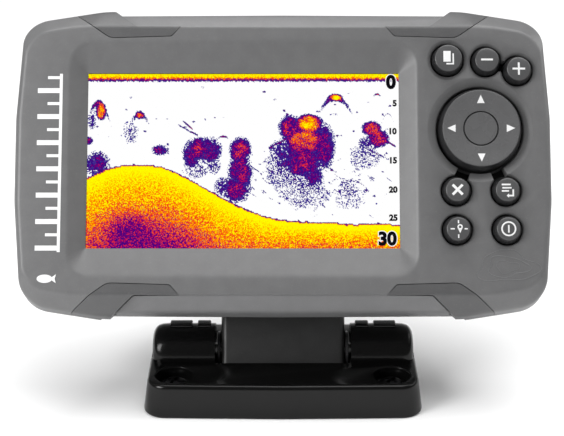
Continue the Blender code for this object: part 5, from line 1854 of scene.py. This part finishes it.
# %% The sweep
def sweep():
    """A pale floor that curves up into a wall behind."""
    shape = bmesh.new()
    profile = [(-3.0, 0.0), (1.2, 0.0)]
    for step in range(1, 13):
        angle = math.radians(90.0 * step / 12)
        profile.append((1.2 + 0.8 * math.sin(angle), 0.8 * (1.0 - math.cos(angle))))
    profile.append((2.0, 3.0))
    rows = [[shape.verts.new((x, y, z)) for y, z in profile] for x in (-3.0, 3.0)]
    for step in range(len(profile) - 1):
        shape.faces.new((rows[0][step], rows[1][step], rows[1][step + 1], rows[0][step + 1]))
    return piece_of("studio_sweep", shape, Matrix.Identity(4))


def sweep_paint():
    """Matt off-white paint with a faint roller mottle."""
    made, tree = blank_material("sweep_paint")
    where = tree.nodes.new("ShaderNodeTexCoord")
    where.label = "place in the studio"
    mottle = tree.nodes.new("ShaderNodeTexNoise")
    mottle.label = "roller mottle"
    mottle.inputs["Scale"].default_value = 3.0
    tone = tree.nodes.new("ShaderNodeMapRange")
    tone.label = "tone"
    tone.inputs["To Min"].default_value = 0.96
    tone.inputs["To Max"].default_value = 0.98
    paint = tree.nodes.new("ShaderNodeBsdfPrincipled")
    paint.label = "matt paint"
    paint.inputs["Roughness"].default_value = 0.9
    paint.inputs["Specular IOR Level"].default_value = 0.1
    output = tree.nodes.new("ShaderNodeOutputMaterial")
    output.label = "surface"
    group = tree.nodes.new("NodeFrame")
    group.label = "rolled paint"
    for node in (mottle, tone):
        node.parent = group
    tree.links.new(where.outputs["Object"], mottle.inputs["Vector"])
    tree.links.new(mottle.outputs["Fac"], tone.inputs["Value"])
    tree.links.new(tone.outputs["Result"], paint.inputs["Base Color"])
    tree.links.new(paint.outputs["BSDF"], output.inputs["Surface"])
    lay_out(tree)
    return made


floor = sweep()
floor.data.materials.append(sweep_paint())
floor.data.shade_smooth()


# %% Lamps
AIM = Vector((0.0, 0.0, 0.06))       # the middle of the object, a little above the foot


def soft_lamp(name, place, size, power):
    """A rectangular white lamp at a place, turned towards the object."""
    data = bpy.data.lights.new(name, "AREA")
    data.shape = "RECTANGLE"
    data.size = size[0]
    data.size_y = size[1]
    data.energy = power
    lamp = bpy.data.objects.new(name, data)
    lamp.location = place
    lamp.rotation_euler = (AIM - Vector(place)).to_track_quat("-Z", "Y").to_euler()
    bpy.context.scene.collection.objects.link(lamp)


soft_lamp("overhead", (0.1, 0.15, 1.1), (1.3, 1.0), 15.0)
soft_lamp("left_front", (-0.40, -0.30, 0.30), (0.22, 0.3), 2.1)
soft_lamp("right_high", (0.42, 0.10, 0.30), (0.3, 0.2), 0.7)
world = bpy.data.worlds.new("studio_air")
world.use_nodes = True
air = world.node_tree.nodes["Background"]
air.inputs["Color"].default_value = (1.0, 1.0, 1.0, 1.0)
air.inputs["Strength"].default_value = 0.18
bpy.context.scene.world = world

# %% Camera
LENS = 95.7
CAMERA_AT = (-0.0003, -0.4322, 0.22744)
CAMERA_PITCH = 22.0                  # degrees below level

lens = bpy.data.cameras.new("camera")
lens.lens = LENS
lens.sensor_width = 36.0
camera = bpy.data.objects.new("camera", lens)
camera.location = CAMERA_AT
camera.rotation_euler = (math.radians(90.0 - CAMERA_PITCH), 0.0, 0.0)
bpy.context.scene.collection.objects.link(camera)
bpy.context.scene.camera = camera
bpy.context.scene.view_settings.view_transform = "Standard"
